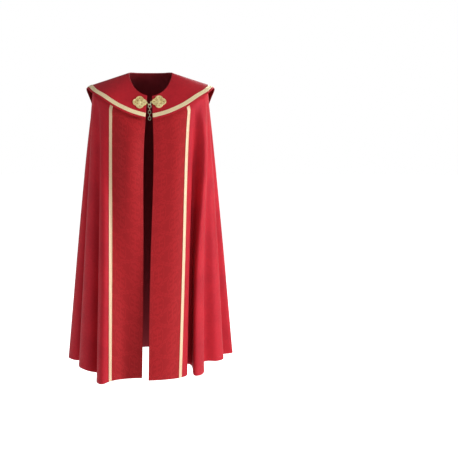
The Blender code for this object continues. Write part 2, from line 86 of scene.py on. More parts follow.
# Lines down the cloth, each from an angle on the shoulders to a point of the hem. Under the
# shoulders a line bows by its sway to +X and by its set_back to +Y.
Line = namedtuple("Line", "name angle x y z sway set_back", defaults=[0.0, 0.0])
LINES = [
    Line("edge_left", 9.0, -0.037, -0.205, -1.300, -0.008, -0.018),
    Line("panel_left", 32.0, -0.103, -0.192, -1.306, -0.004, -0.024),
    Line("seam_left", 55.0, -0.177, -0.235, -1.308, -0.001, 0.011),
    Line("ridge_1", 62.0, -0.212, -0.262, -1.314, -0.003, 0.010),
    Line("ridge_1_side", 66.5, -0.234, -0.228, -1.313, 0.0, 0.004),
    Line("valley_1", 71.0, -0.208, -0.140, -1.302),
    Line("ridge_2", 76.5, -0.283, -0.152, -1.279),
    Line("ridge_2_side", 81.0, -0.322, -0.092, -1.272),
    Line("valley_2", 85.5, -0.284, -0.012, -1.268),
    Line("ridge_3", 90.0, -0.348, -0.012, -1.262),
    Line("ridge_3_side", 95.5, -0.379, 0.048, -1.259),
    Line("valley_3", 103.0, -0.268, 0.084, -1.264),
    Line("ridge_4", 111.0, -0.372, 0.162, -1.262),
    Line("ridge_4_side", 117.0, -0.345, 0.232, -1.262),
    Line("valley_4", 126.0, -0.236, 0.168, -1.264),
    Line("ridge_5", 136.0, -0.226, 0.318, -1.268),
    Line("ridge_5_side", 145.0, -0.160, 0.345, -1.270),
    Line("valley_5", 157.0, -0.098, 0.206, -1.273),
    Line("ridge_6", 170.0, -0.034, 0.352, -1.276),
    Line("ridge_6_side", 183.0, 0.044, 0.352, -1.276),
    Line("valley_6", 195.0, 0.104, 0.202, -1.274),
    Line("ridge_7", 207.0, 0.152, 0.340, -1.272),
    Line("ridge_7_side", 216.0, 0.220, 0.312, -1.268),
    Line("valley_7", 226.0, 0.226, 0.168, -1.262),
    Line("ridge_8", 235.0, 0.318, 0.246, -1.258),
    Line("ridge_8_side", 243.0, 0.354, 0.188, -1.254),
    Line("valley_8", 249.0, 0.270, 0.110, -1.256),
    Line("ridge_9", 256.0, 0.362, 0.126, -1.250),
    Line("ridge_9_side", 263.0, 0.383, 0.076, -1.247),
    Line("valley_9", 268.0, 0.320, 0.044, -1.252),
    Line("ridge_10_side", 273.0, 0.334, -0.010, -1.257),
    Line("ridge_10", 278.0, 0.306, -0.046, -1.259, 0.004, -0.001),
    Line("valley_10", 284.0, 0.240, -0.058, -1.262, 0.012, -0.005),
    Line("ridge_11_side", 288.5, 0.238, -0.118, -1.296, 0.020, -0.008),
    Line("ridge_11", 292.5, 0.206, -0.160, -1.301, 0.030, -0.012),
    Line("valley_11", 299.0, 0.172, -0.055, -1.271, 0.006, -0.003),
    Line("ridge_12", 302.7, 0.154, -0.176, -1.299, -0.001),
    Line("seam_right", 306.3, 0.130, -0.196, -1.301, -0.004),
    Line("panel_right", 331.0, 0.060, -0.230, -1.302, 0.004),
    Line("edge_right", 356.0, -0.008, -0.242, -1.303, 0.009),
]
# Shallow creases pressed into the cloth by its own weight: the angle and level where each starts
# and ends, how wide it is, and how high it stands.
Crease = namedtuple("Crease", "angle start end_angle end width height")
CREASES = [
    Crease(71, 1.60, 84, 2.34, 0.016, 0.0030),
    Crease(98, 1.75, 88, 2.42, 0.020, -0.0032),
    Crease(292, 1.55, 283, 2.30, 0.018, 0.0034),
    Crease(266, 1.70, 275, 2.46, 0.020, -0.0030),
    Crease(140, 1.90, 128, 2.52, 0.024, 0.0034),
    Crease(222, 1.90, 236, 2.50, 0.024, 0.0032),
    Crease(178, 2.05, 190, 2.62, 0.028, -0.0034),
    Crease(108, 2.30, 114, 2.86, 0.022, -0.0034),
    Crease(250, 2.35, 243, 2.90, 0.022, -0.0032),
    Crease(62, 2.42, 66, 2.92, 0.014, -0.0022),
    Crease(299, 2.30, 294, 2.86, 0.014, 0.0024),
]


def through(knots, values, at, rounded=False):
    """A smooth curve through values at knots, read at other places. A rounded one keeps its speed
    at the knots, so that a zigzag of points becomes a row of full folds."""
    knots, values, at = (np.asarray(given, float) for given in (knots, values, at))
    flat = (1,) * (values.ndim - 1)
    steps = np.diff(knots).reshape(-1, *flat)
    rises = np.diff(values, axis=0) / steps
    slopes = np.empty_like(values)
    slopes[0], slopes[-1] = rises[0], rises[-1]
    slopes[1:-1] = (rises[:-1] * steps[1:] + rises[1:] * steps[:-1]) / (steps[:-1] + steps[1:])
    if rounded:
        slopes /= np.linalg.norm(slopes, axis=-1, keepdims=True)
    i = np.clip(np.searchsorted(knots, at, side="right") - 1, 0, len(steps) - 1)
    step = steps[i]
    f = (at - knots[i]).reshape(at.shape + flat) / step.reshape(at.shape + flat)
    step = step.reshape(f.shape)
    return (
        values[i] * (1 + 2 * f) * (1 - f) ** 2
        + slopes[i] * step * f * (1 - f) ** 2
        + values[i + 1] * f**2 * (3 - 2 * f)
        + slopes[i + 1] * step * f**2 * (f - 1)
    )


def by_angle(rows, size, angle, pointed=False):
    """A size from a table of the first half of the figure, which the second half mirrors. A
    pointed one comes to a point at the back."""
    knots = np.radians([row.angle for row in rows])
    values = np.array([getattr(row, size) for row in rows])
    if not pointed:
        knots = np.concatenate([-knots[1:2], knots, 2 * math.pi - knots[-2:-1]])
        values = np.concatenate([values[1:2], values, values[-2:-1]])
    return through(knots, values, math.pi - np.abs(math.pi - angle))


def outward(angle):
    return np.stack([-np.sin(angle), -np.cos(angle), np.zeros_like(angle)], axis=-1)


def laid(profile, angle, along, lift=0.0):
    """Points of cloth laid on the shoulders by a profile, at a length from the neckline."""
    part = {size: by_angle(profile, size, angle) for size in Profile._fields[1:]}
    slope, end = np.radians(part["slope"]), np.radians(part["end"])
    on_slope = np.minimum(along, part["run"])
    turned = np.minimum(np.maximum(along - part["run"], 0) / part["turn"], end - slope)
    hanging = np.maximum(along - part["run"] - part["turn"] * (end - slope), 0)
    out = (
        part["reach"]
        + on_slope * np.cos(slope)
        + part["turn"] * (np.sin(slope + turned) - np.sin(slope))
        + hanging * np.cos(end)
    )
    down = (
        on_slope * np.sin(slope)
        + part["turn"] * (np.cos(slope) - np.cos(slope + turned))
        + hanging * np.sin(end)
    )
    points = outward(angle) * (out + lift * np.sin(slope + turned))[..., None]
    points[..., 2] = part["height"] - down + lift * np.cos(slope + turned)
    return points


HEM = np.array([(line.x, line.y, line.z) for line in LINES])
HEM_PLACES = np.concatenate([[0], np.cumsum(np.linalg.norm(np.diff(HEM, axis=0), axis=1))])
LINE_ANGLES = np.radians([line.angle for line in LINES])
PLACE = {line.name: place for line, place in zip(LINES, HEM_PLACES)}
SWAYS = np.array([(line.sway, line.set_back, 0) for line in LINES])


def cope_point(place, level):
    """A point of the cope's cloth. place is metres round the hem from the left front edge.
    level is 0 at the neckline, 1 at the shoulders' turn, 2 where it hangs, and 3 at the hem."""
    place, level = np.broadcast_arrays(place, level)
    angle = through(HEM_PLACES, LINE_ANGLES, place)
    hem = through(HEM_PLACES, HEM, place, rounded=True)
    run, slope, turn, end = (
        by_angle(COPE_PROFILE, size, angle) for size in ("run", "slope", "turn", "end")
    )
    along = run * np.minimum(level, 1) + turn * np.radians(end - slope) * np.clip(level - 1, 0, 1)
    points = laid(COPE_PROFILE, angle, along)
    fall = np.clip(level - 2, 0, 1)[..., None]
    smooth_hem = outward(angle) * by_angle(FLARES, "reach", angle)[..., None]
    smooth_hem[..., 2] = hem[..., 2]
    folds = hem - smooth_hem
    onset, folds_onset = (
        by_angle(FLARES, size, angle)[..., None] for size in ("onset", "folds_onset")
    )
    flare = np.concatenate([fall**onset, fall**onset, fall], axis=-1)
    points = points + (smooth_hem - points) * flare + folds * fall**folds_onset
    return points + through(HEM_PLACES, SWAYS, place) * SWAY_SCALE * fall * (1 - fall) ** 4


def stretch(place, level, step=0.001):
    """How far cloth at this level moves for each metre of place round the hem."""
    there = cope_point(place + step, level)
    here = cope_point(place - step, level)
    return np.linalg.norm(there - here, axis=-1) / (2 * step)


def beside(line, distance, level):
    """Places at a distance along the cloth from one of its lines, at each level."""
    place = np.full_like(level, PLACE[line])
    return place + distance / stretch(place, level)


def normals(points):
    """Outward unit normals of a grid of points, whose rows run down and columns run by the back."""
    across = np.cross(np.gradient(points, axis=1), np.gradient(points, axis=0))
    return across / np.linalg.norm(across, axis=-1, keepdims=True)


def lifted(points, height):
    """A grid of points moved out along its normals."""
    return points + normals(points) * np.asarray(height)[..., None]


def cope_levels():
    """Rows from neckline to hem. The last ones are close together, for the turned hem."""
    yoke = np.linspace(0, 1, YOKE_ROWS, endpoint=False)
    turn = np.linspace(1, 2, TURN_ROWS, endpoint=False)
    hang = np.linspace(2, 3 - 1.6 * HEM_TURN, HANG_ROWS)
    return np.concatenate([[0, NECK_ROW], yoke[1:], turn, hang, 3 - HEM_ROWS * HEM_TURN])


def creased(creases, angle, along, reach):
    """How high creases lift the cloth, each one fading in and out along its length. reach is the
    cloth's distance from the middle of the figure."""
    lift = 0
    for crease in creases:
        share = np.clip((along - crease.start) / (crease.end - crease.start), 0, 1)
        middle = crease.angle + (crease.end_angle - crease.angle) * share
        aside = np.radians(np.degrees(angle) - middle) * reach / crease.width
        lift = lift + crease.height * np.sin(math.pi * share) ** 2 * np.exp(-(aside**2))
    return lift


def hem_swell(level):
    """How far the turned hem thickens the cloth."""
    from_hem = (3 - level) / HEM_TURN
    return HEM_SWELL * np.clip((1.06 - from_hem) / 0.12, 0, 1)


def flat_lengths(points):
    """Length down each column of a grid of points, from its first row."""
    steps = np.linalg.norm(np.diff(points, axis=0), axis=-1)
    return np.concatenate([np.zeros((1, points.shape[1])), np.cumsum(steps, axis=0)])


def flat_cut(across, along):
    """Where each point of a grid lies in the flat cut."""
    return np.stack(np.broadcast_arrays(across, along), axis=-1)


def fanned_cut(turn, radius):
    """The same for a cut that fans out from a middle."""
    return flat_cut(radius * np.sin(turn), radius * np.cos(turn))


def new_mesh(name, vertices, edges, faces):
    mesh = bpy.data.meshes.new(name)
    mesh.from_pydata(vertices, edges, faces)
    return mesh


def placed(name, data):
    """A new object in the scene."""
    made = bpy.data.objects.new(name, data)
    bpy.context.scene.collection.objects.link(made)
    return made


def sheet_wall(name, points, thick, cut, finish, swell=0.0):
    """A closed cloth wall on a grid of points, with a rounded rim. It keeps where each point lies
    in the flat cut as its UV, in metres, and which side of the cloth it is on."""
    across = normals(points)
    swell = np.broadcast_to(swell, points.shape[:2])[..., None]
    outer = points + across * (thick / 2 + swell)
    inner = points - across * (thick / 2)
    away = np.zeros_like(points)
    away[[0, -1]] += points[[0, -1]] - points[[1, -2]]
    away[:, [0, -1]] += points[:, [0, -1]] - points[:, [1, -2]]
    outer, inner, away = (given.reshape(-1, 3) for given in (outer, inner, away))
    count = len(outer)
    grid = np.arange(count).reshape(points.shape[:2])
    rim = np.concatenate([grid[0, :-1], grid[:-1, -1], grid[-1, :0:-1], grid[:0:-1, 0]])
    away = away[rim] / np.linalg.norm(away[rim], axis=-1, keepdims=True)
    middle = (outer[rim] + inner[rim]) / 2 + away * thick * RIM_ROUND
    a, b, d, e = (x.ravel() for x in (grid[:-1, :-1], grid[:-1, 1:], grid[1:, :-1], grid[1:, 1:]))
    outside = np.stack([a, b, e, d], axis=1)
    inside = np.stack([a, d, e, b], axis=1) + count
    after = np.roll(rim, -1)
    loop = np.arange(len(rim)) + 2 * count
    loop_after = np.roll(loop, -1)
    first = np.stack([after, rim, loop, loop_after], axis=1)
    second = np.stack([loop_after, loop, rim + count, after + count], axis=1)
    faces = np.concatenate([outside, inside, first, second])
    mesh = new_mesh(name, np.concatenate([outer, inner, middle]).tolist(), [], faces.tolist())
    cut = cut.reshape(-1, 2)
    cut = np.concatenate([cut, cut, cut[rim]])
    mesh.uv_layers.new(name="cut").data.foreach_set("uv", cut[faces.ravel()].ravel())
    # Which side each point is on. The finishes paint the inside, and half of the rim, in painted
    # shade.
    side = mesh.attributes.new("inside", "FLOAT", "POINT")
    side.data.foreach_set("value", np.repeat([0.0, 1.0, 0.5], [count, count, len(rim)]))
    mesh.shade_smooth()
    mesh.validate()
    mesh.materials.append(finish)
    return placed(name, mesh)


class Value:
    """What a node gives, in plain arithmetic. Each step of it is a node in the same tree."""

    def __init__(self, socket):
        self.socket = socket
        self.tree = socket.id_data

    def maths(self, operation, *others):
        inputs = dict(enumerate((self, *others)))
        return read(self.tree, "ShaderNodeMath", inputs, operation=operation)

    def __add__(self, other):
        return self.maths("ADD", other)

    def __sub__(self, other):
        return self.maths("SUBTRACT", other)

    def __mul__(self, other):
        return self.maths("MULTIPLY", other)

    def __truediv__(self, other):
        return self.maths("DIVIDE", other)

    def __abs__(self):
        return self.maths("ABSOLUTE")

    def eased(self, low, high, start=0.0, end=1.0):
        """Eased from start to end as this value goes from low to high."""
        inputs = {"Value": self, 1: low, 2: high, 3: start, 4: end}
        return read(self.tree, "ShaderNodeMapRange", inputs, interpolation_type="SMOOTHSTEP")

    def faded(self, low, high):
        return self.eased(low, high, 1.0, 0.0)


def give(node, inputs):
    """Set a node's inputs to plain values, or link them to what other nodes give."""
    for name, value in inputs.items():
        if isinstance(value, Value):
            value.tree.links.new(value.socket, node.inputs[name])
        else:
            node.inputs[name].default_value = value
    return node


def add(tree, kind, inputs, **settings):
    """A new node with its settings and inputs."""
    made = tree.nodes.new(kind)
    for name, setting in settings.items():
        setattr(made, name, setting)
    return give(made, inputs)


def read(tree, kind, inputs, output=0, **settings):
    """What a new node gives, at its first output unless another is named."""
    return Value(add(tree, kind, inputs, **settings).outputs[output])


def sine(value):
    return value.maths("SINE")


def parts(vector):
    """X, Y and Z of a vector."""
    made = add(vector.tree, "ShaderNodeSeparateXYZ", {"Vector": vector})
    return [Value(socket) for socket in made.outputs]


def noise(place, scale, detail=2.0):
    inputs = {"Vector": place, "Scale": scale, "Detail": detail}
    return read(place.tree, "ShaderNodeTexNoise", inputs, "Fac")


def tint(share, first, second):
    """A colour mixed from two by a share."""
    inputs = {"Factor": share, 6: first, 7: second}
    return read(share.tree, "ShaderNodeMix", inputs, 2, data_type="RGBA")


def bumped(height, distance, strength=0.5):
    inputs = {"Height": height, "Distance": distance, "Strength": strength}
    return read(height.tree, "ShaderNodeBump", inputs)


def group(name, inputs, outputs, kind="Shader"):
    """An empty node group, what it is given, and its result. An input is a plain number or names
    the kind of its socket."""
    tree = bpy.data.node_groups.new(name, f"{kind}NodeTree")
    for socket, value in inputs.items():
        number = isinstance(value, float)
        socket_type = f"NodeSocket{'Float' if number else value}"
        made = tree.interface.new_socket(socket, in_out="INPUT", socket_type=socket_type)
        if number:
            made.default_value = value
    socket_type = "NodeSocketFloat" if kind == "Shader" else "NodeSocketGeometry"
    for socket in outputs:
        tree.interface.new_socket(socket, in_out="OUTPUT", socket_type=socket_type)
    given = {socket.name: Value(socket) for socket in tree.nodes.new("NodeGroupInput").outputs}
    return tree, given, tree.nodes.new("NodeGroupOutput")


def use(tree, which, inputs):
    """What a node group gives, by the names of its outputs."""
    made = add(tree, "ShaderNodeGroup", inputs, node_tree=which)
    return {socket.name: Value(socket) for socket in made.outputs}


def make_weave_group():
    """Threads of a fine twill: their height, and slow uneven shades of the dye."""
    tree, given, result = group("Twill", {"Cut": "Vector", "Thread": 0.0009}, ("Height", "Shade"))
    u, v = (way / given["Thread"] * (2 * math.pi) for way in parts(given["Cut"])[:2])
    rib, cross = sine((u + v) * 0.5), sine(u) * sine(v)
    slub, dye = noise(given["Cut"], 90.0, 3.0), noise(given["Cut"], 7.0, 4.0)
    height = slub * 0.5 + rib * 0.30 + cross * 0.20
    give(result, {"Height": height, "Shade": dye * 0.7 + slub * 0.3})
    return tree


def plain_finish(name, **values):
    """A material and its Principled shader, whose inputs are named with _ for each space."""
    made = bpy.data.materials.new(name)
    made.use_nodes = True
    shader = made.node_tree.nodes["Principled BSDF"]
    return made, give(shader, {socket.replace("_", " "): value for socket, value in values.items()})


def place_in_cut(shader):
    return read(shader.id_data, "ShaderNodeUVMap", {}, uv_map="cut")


def shaded_inside(colour):
    """A cloth's colour outside, and a darker red on its inside that is painted shade."""
    side = read(colour.tree, "ShaderNodeAttribute", {}, "Fac", attribute_name="inside")
    return tint(side, colour, INSIDE_SHADE_RED)


TWILL = make_weave_group()
RED_LOW, RED_HIGH = (0.40, 0.0090, 0.0145, 1), (0.50, 0.0125, 0.0190, 1)
# Painted shade: the inside of the cloth, the same cloth as its outside, is given a darker red.
INSIDE_SHADE_RED = (0.24, 0.0110, 0.0130, 1)
red_finish, shader = plain_finish(
    "red cloth", Roughness=0.62, Sheen_Weight=0.07, Sheen_Roughness=0.40,
    Sheen_Tint=(1.0, 0.44, 0.54, 1), Specular_IOR_Level=0.34, Specular_Tint=(1.0, 0.55, 0.82, 1),
)
weave = use(shader.id_data, TWILL, {"Cut": place_in_cut(shader), "Thread": 0.0009})
give(shader, {
    "Base Color": shaded_inside(tint(weave["Shade"].eased(0.35, 0.65), RED_LOW, RED_HIGH)),
    "Normal": bumped(weave["Height"], 0.0003),
})

level = cope_levels()
first = beside("seam_left", SEAM / 2, level)[:, None]
last = beside("seam_right", -SEAM / 2, level)[:, None]
place = first + (last - first) * np.linspace(0, 1, MAIN_COLUMNS)
rows = level[:, None]
angle = through(HEM_PLACES, LINE_ANGLES, place)
lift = creased(CREASES, angle, rows, 0.20 + 0.16 * np.maximum(rows - 1, 0))
points = lifted(cope_point(place, rows), lift)
cut = fanned_cut(place / HEM_CUT, NECK_CUT + flat_lengths(points))
swell = hem_swell(rows)
main_cloth = sheet_wall("main_cloth_sewn", points, CLOTH, cut, red_finish, swell)
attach(main_cloth, "cope")
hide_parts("main_cloth")

# ---------------------------------------------------------------- front bands
# The orphreys: two long bands of red damask down the front edges, whose glossy figure of ogees and
# medallions is woven into a duller ground. They are sewn to the main cloth, their edges turned in.
BAND_COLUMNS = 56
FIGURE_WIDTH = 0.130
FIGURE_HEIGHT = 0.135
MEDALLION_HALF = (0.0270, 0.0540)  # half its width and height
CROSS_NECK = 0.0022  # half the width of the cross at its middle
UPRIGHT_ARM, LEVEL_ARM = (5.5, 0.034), (14.0, 0.016)  # how an arm widens, and its length
LEAF_MIDDLE = (0.0105, 0.0225)
OGEE_GAP = 0.0030  # from the beads in the middle of an ogee line to the stems beside them
BEAD_STEP, LEAF_STEP, LEAF_REACH = 0.0090, 0.0225, 0.0052
FIRST_FIGURES = 0.036  # from a band's front edge to the middle of the nearest medallions
RIM_COLUMN = 0.010  # share of the width of the column close to an edge, which keeps it firm


def most(first, *others):
    for other in others:
        first = first.maths("MAXIMUM", other)
    return first


def cross_arm(aside, out, flare, length):
    """An arm of the cross, which widens on its way out."""
    width = out * out * flare + CROSS_NECK
    shape = (aside - width).faded(-0.0005, 0.0005)
    return shape * out.faded(length - 0.0005, length + 0.0005)


def make_medallion_group():
    """One damask medallion: a scalloped oval ring round a flared cross, with leaves between."""
    tree, given, result = group("Medallion", {"X": 0.0, "Y": 0.0}, ("Figure",))
    across, along = given["X"] / MEDALLION_HALF[0], given["Y"] / MEDALLION_HALF[1]
    reach = (across * across + along * along).maths("SQRT")
    turn = across.maths("ARCTAN2", along)
    edge = abs(sine(turn * 5.0)) * 0.10 + reach
    ring = abs(edge - 0.93).faded(0.035, 0.065)
    wide, tall = abs(given["X"]), abs(given["Y"])
    upright, level_arm = cross_arm(wide, tall, *UPRIGHT_ARM), cross_arm(tall, wide, *LEVEL_ARM)
    # A leaf in each quarter, pointed at both ends, with a vein down its middle.
    out, up = wide - LEAF_MIDDLE[0], tall - LEAF_MIDDLE[1]
    down_leaf = out * 0.42 + up * 0.91
    over_leaf = abs(out * 0.91 - up * 0.42)
    leaf = (down_leaf * down_leaf * 28.0 + over_leaf).faded(0.0040, 0.0047)
    leaf = leaf * over_leaf.eased(0.0003, 0.0006)
    give(result, {"Figure": most(ring, upright, level_arm, leaf)})
    return tree


def repeat(value, size, shift):
    """Distance from the middle of the nearest repeat."""
    return ((value / size + shift).maths("FRACT") - 0.5) * size


def make_damask_group():
    """The whole figure: medallions set like bricks, and ogees of stems, beads and leaves."""
    names = {"Cut": "Vector", "Width": FIGURE_WIDTH, "Height": FIGURE_HEIGHT}
    tree, given, result = group("Damask", names, ("Figure",))
    across, along = parts(given["Cut"])[:2]
    width, height = given["Width"], given["Height"]
    medallion = make_medallion_group()
    figures = []
    for shift in (0.0, 0.5):
        place = {"X": repeat(across, width, shift), "Y": repeat(along, height, shift)}
        figures.append(use(tree, medallion, place)["Figure"])
    turn = repeat(along, height, 0.0) / height * (2 * math.pi)
    ogee = (turn.maths("COSINE") * 0.25 + 0.25) * width
    from_line = abs(abs(repeat(across, width, 0.0)) - ogee) / (abs(sine(turn)) * 0.8 + 1.0)
    stem = abs(from_line - OGEE_GAP).faded(0.0006, 0.0012)
    beads = sine(along * (2 * math.pi / BEAD_STEP)).eased(0.0, 0.4)
    bead = from_line.faded(0.0010, 0.0016) * beads
    leaves = sine(along * (2 * math.pi / LEAF_STEP))
    leaf = (from_line - 0.0036 - leaves * leaves * LEAF_REACH).faded(-0.0006, 0.0002)
    leaf = leaf * from_line.eased(0.0038, 0.0046)
    give(result, {"Figure": most(*figures, stem, bead, leaf)})
    return tree


DAMASK = make_damask_group()
GROUND_RED, FIGURE_RED = (0.366, 0.0091, 0.0135, 1), (0.438, 0.0112, 0.0163, 1)
damask_finish, shader = plain_finish(
    "red damask", Sheen_Weight=0.06, Sheen_Roughness=0.40, Sheen_Tint=(1.0, 0.40, 0.42, 1),
    Specular_IOR_Level=0.20,
)
cut = place_in_cut(shader)
weave = use(cut.tree, TWILL, {"Cut": cut, "Thread": 0.0007})
figure = use(cut.tree, DAMASK, {"Cut": cut})["Figure"]
shown = figure + weave["Shade"] * 0.7 - 0.35
give(shader, {
    "Base Color": shaded_inside(tint(shown, GROUND_RED, FIGURE_RED)),
    "Roughness": figure * -0.10 + 0.66,
    "Normal": bumped(figure * 0.8 + weave["Height"], 0.0003),
})

share = np.linspace(0, 1, BAND_COLUMNS)
share = np.concatenate([[0, RIM_COLUMN], share[1:-1], [1 - RIM_COLUMN, 1]])
for name, near, far in (
    ("left", np.zeros_like(level), beside("seam_left", -SEAM / 2, level)),
    ("right", beside("seam_right", SEAM / 2, level), np.full_like(level, HEM_PLACES[-1])),
):
    points = cope_point(near[:, None] + (far - near)[:, None] * share, rows)
    across = flat_lengths(points.transpose(1, 0, 2)).T
    from_edge = across if name == "left" else across[:, -1:] - across
    cut = flat_cut(from_edge - FIRST_FIGURES, flat_lengths(points))
    band = sheet_wall(f"front_band_{name}_sewn", points, CLOTH, cut, damask_finish, swell)
    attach(band, "cope")
    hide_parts(f"front_band_{name}")

# ---------------------------------------------------------------- front braids
# Pale gold braid with a small lozenge weave and a corded selvedge, laid over the seam between each
# front band and the main cloth, and sewn down by two rows of stitches.
BRAID_WIDTH = 0.0150
BRAID_THICK = 0.0010
BRAID_ROWS = slice(YOKE_ROWS + 1, None)
LOZENGE = 0.0042
SELVEDGE = 0.0016
THREAD_RISE = 0.0006  # how high the sewing thread lies on a braid
# A braid's columns as shares of half its width, the two of them that are sewn, and how high the
# braid stands at a share, with its cords at the edges.
BRAID_COLUMNS = np.array([-1, -0.93, -0.80, -0.72, -0.4, 0.0, 0.4, 0.72, 0.80, 0.93, 1])
SEWN_COLUMNS = [4, 6]
BRAID_RISES = {0.0: 0.00025, 0.72: 0.00022, 0.80: 0.0006, 0.93: 0.0006, 1.0: 0.0}


def make_braid_group():
    """Braid: lozenges of metal thread between two cords. Cut runs across it, then along it."""
    names = {"Cut": "Vector", "Width": BRAID_WIDTH, "Lozenge": LOZENGE, "Cord": SELVEDGE}
    tree, given, result = group("Braid", names, ("Height", "Gap", "Cord"))
    across, along = parts(given["Cut"])[:2]
    turns = [way / given["Lozenge"] * math.pi for way in (across + along, across - along)]
    lattice = abs(sine(turns[0])) * abs(sine(turns[1]))
    threads = sine(along * (2 * math.pi / 0.0009)) * sine(across * (2 * math.pi / 0.0011))
    cord = (given["Width"] * 0.5 - abs(across) - given["Cord"]).faded(-0.0003, 0.0003)
    twist = sine((across + along) * (2 * math.pi / 0.0016))
    body = threads * 0.16 + lattice * 0.75
    edge = twist * 0.25 + 0.85
    gap = (threads * 0.06 + lattice).faded(0.10, 0.42) * (cord * -1.0 + 1.0)
    give(result, {"Height": body + (edge - body) * cord, "Gap": gap, "Cord": cord})
    return tree


BRAID = make_braid_group()


def braid_finish(name, width, bright, dull, cord):
    """Gold braid of a width, its raised threads bright and its gaps dull."""
    made, shader = plain_finish(
        name, Metallic=0.15, Sheen_Weight=0.2, Sheen_Tint=(1.0, 0.9, 0.66, 1)
    )
    cut = place_in_cut(shader)
    braid = use(cut.tree, BRAID, {"Cut": cut, "Width": width})
    gap = (noise(cut, 60.0, 4.0) - 0.5) * 0.5 + braid["Gap"]
    give(shader, {
        "Base Color": tint(braid["Cord"] * 0.8, tint(gap, bright, dull), cord),
        "Roughness": gap * 0.25 + 0.36,
        "Normal": bumped(braid["Height"], 0.0006, 0.6),
    })
    return made


def thread_finish(name, roughness, dark, light):
    """Sewing thread, its colour a little uneven."""
    made, shader = plain_finish(name, Roughness=roughness, Sheen_Weight=0.3)
    place = read(shader.id_data, "ShaderNodeTexCoord", {}, "Object")
    give(shader, {"Base Color": tint(noise(place, 400.0), dark, light)})
    return made


# The front braids are the same gold thread as the hood's braid, with darker, deeper colours:
# painted shade.
front_gold_in_shade = braid_finish(
    "gold front braid in painted shade", BRAID_WIDTH, (0.92, 0.70, 0.48, 1), (0.74, 0.52, 0.28, 1),
    (0.84, 0.60, 0.38, 1),
)
thread_gold = thread_finish(
    "gold sewing thread", 0.45, (0.60, 0.43, 0.18, 1), (0.84, 0.68, 0.38, 1)
)


def real_geometry(instances, finish):
    """Instances made real and smooth, with their finish."""
    real = read(instances.tree, "GeometryNodeRealizeInstances", {"Geometry": instances})
    smooth = read(real.tree, "GeometryNodeSetShadeSmooth", {"Geometry": real})
    inputs = {"Geometry": smooth, "Material": finish}
    return read(real.tree, "GeometryNodeSetMaterial", inputs)


def make_stitch_tree():
    """Stitches along paths: each path is cut into steps, and a short round thread lies on each."""
    sizes = {"Step": 0.0, "Length": 0.0, "Thickness": 0.0}
    inputs = {"Path": "Geometry", **sizes, "Finish": "Material"}
    tree, given, result = group("Stitches", inputs, ("Stitches",), "Geometry")
    path = read(tree, "GeometryNodeMeshToCurve", {"Mesh": given["Path"]})
    inputs = {"Curve": path, "Length": given["Step"]}
    steps = read(tree, "GeometryNodeResampleCurve", inputs, mode="LENGTH")
    inputs = {"Radius": given["Thickness"] / 2.0, "Depth": given["Length"]}
    inputs |= {"Vertices": 6, "Side Segments": 3}
    thread = read(tree, "GeometryNodeMeshCylinder", inputs)
    place = read(tree, "GeometryNodeInputPosition", {})
    share = parts(place)[2] / given["Length"]
    taper = share * share * -2.6 + 1.0
    size = read(tree, "ShaderNodeCombineXYZ", {"X": taper, "Y": taper, "Z": 1.0})
    slim = read(tree, "ShaderNodeVectorMath", {0: place, 1: size}, operation="MULTIPLY")
    thread = read(tree, "GeometryNodeSetPosition", {"Geometry": thread, "Position": slim})
    tangent = read(tree, "GeometryNodeInputTangent", {})
    aim = read(tree, "FunctionNodeAlignRotationToVector", {"Vector": tangent}, axis="Z")
    inputs = {"Points": steps, "Instance": thread, "Rotation": aim}
    row = read(tree, "GeometryNodeInstanceOnPoints", inputs)
    give(result, {"Stitches": real_geometry(row, given["Finish"])})
    return tree


STITCHES = make_stitch_tree()


def baked(holder):
    """The plain mesh that an object's curve or nodes make. The object itself goes."""
    evaluated = holder.evaluated_get(bpy.context.evaluated_depsgraph_get())
    mesh = bpy.data.meshes.new_from_object(evaluated)
    bpy.data.objects.remove(holder, do_unlink=True)
    return mesh


def grown_mesh(name, guide, tree, values):
    """The plain mesh that a geometry tree makes on a guide mesh."""
    holder = placed(name, guide)
    modifier = holder.modifiers.new(tree.name, "NODES")
    modifier.node_group = tree
    for item in tree.interface.items_tree:
        if item.name in values:
            modifier[item.identifier] = values[item.name]
    return baked(holder)


def grown(name, guide, tree, values, body):
    """A piece that a geometry tree makes on a guide mesh."""
    made = placed(name, grown_mesh(name, guide, tree, values))
    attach(made, body)
    return made


def stitch(name, paths, finish, slot, step, length, thickness):
    """A piece of stitches along open paths of points."""
    edges, start = [], 0
    for path in paths:
        edges += [(start + i, start + i + 1) for i in range(len(path) - 1)]
        start += len(path)
    guide = new_mesh(name, np.concatenate(paths).tolist(), edges, [])
    values = {"Step": step, "Length": length, "Thickness": thickness, "Finish": finish}
    grown(name, guide, STITCHES, values, "cope")


braid_level = level[BRAID_ROWS]
braid_across = BRAID_COLUMNS * BRAID_WIDTH / 2
braid_rise = np.interp(np.abs(BRAID_COLUMNS), list(BRAID_RISES), list(BRAID_RISES.values()))
braid_rows = []
for name in ("left", "right"):
    columns = [beside(f"seam_{name}", distance, braid_level) for distance in braid_across]
    points = cope_point(np.stack(columns, axis=1), braid_level[:, None])
    middle = CLOTH / 2 + SEAM + BRAID_THICK / 2 + hem_swell(braid_level)[:, None]
    cut = flat_cut(braid_across, flat_lengths(points))
    braid = sheet_wall(
        f"front_braid_{name}_sewn", lifted(points, middle), BRAID_THICK, cut, front_gold_in_shade, braid_rise
    )
    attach(braid, "cope")
    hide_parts(f"front_braid_{name}")
    top = lifted(points, CLOTH / 2 + SEAM + BRAID_THICK + THREAD_RISE)
    braid_rows += [top[2:, column] for column in SEWN_COLUMNS]
braid_stitch = {"step": 0.0045, "length": 0.0030, "thickness": 0.0005}
stitch("front_braid_stitches", braid_rows, thread_gold, "gold_braid", **braid_stitch)

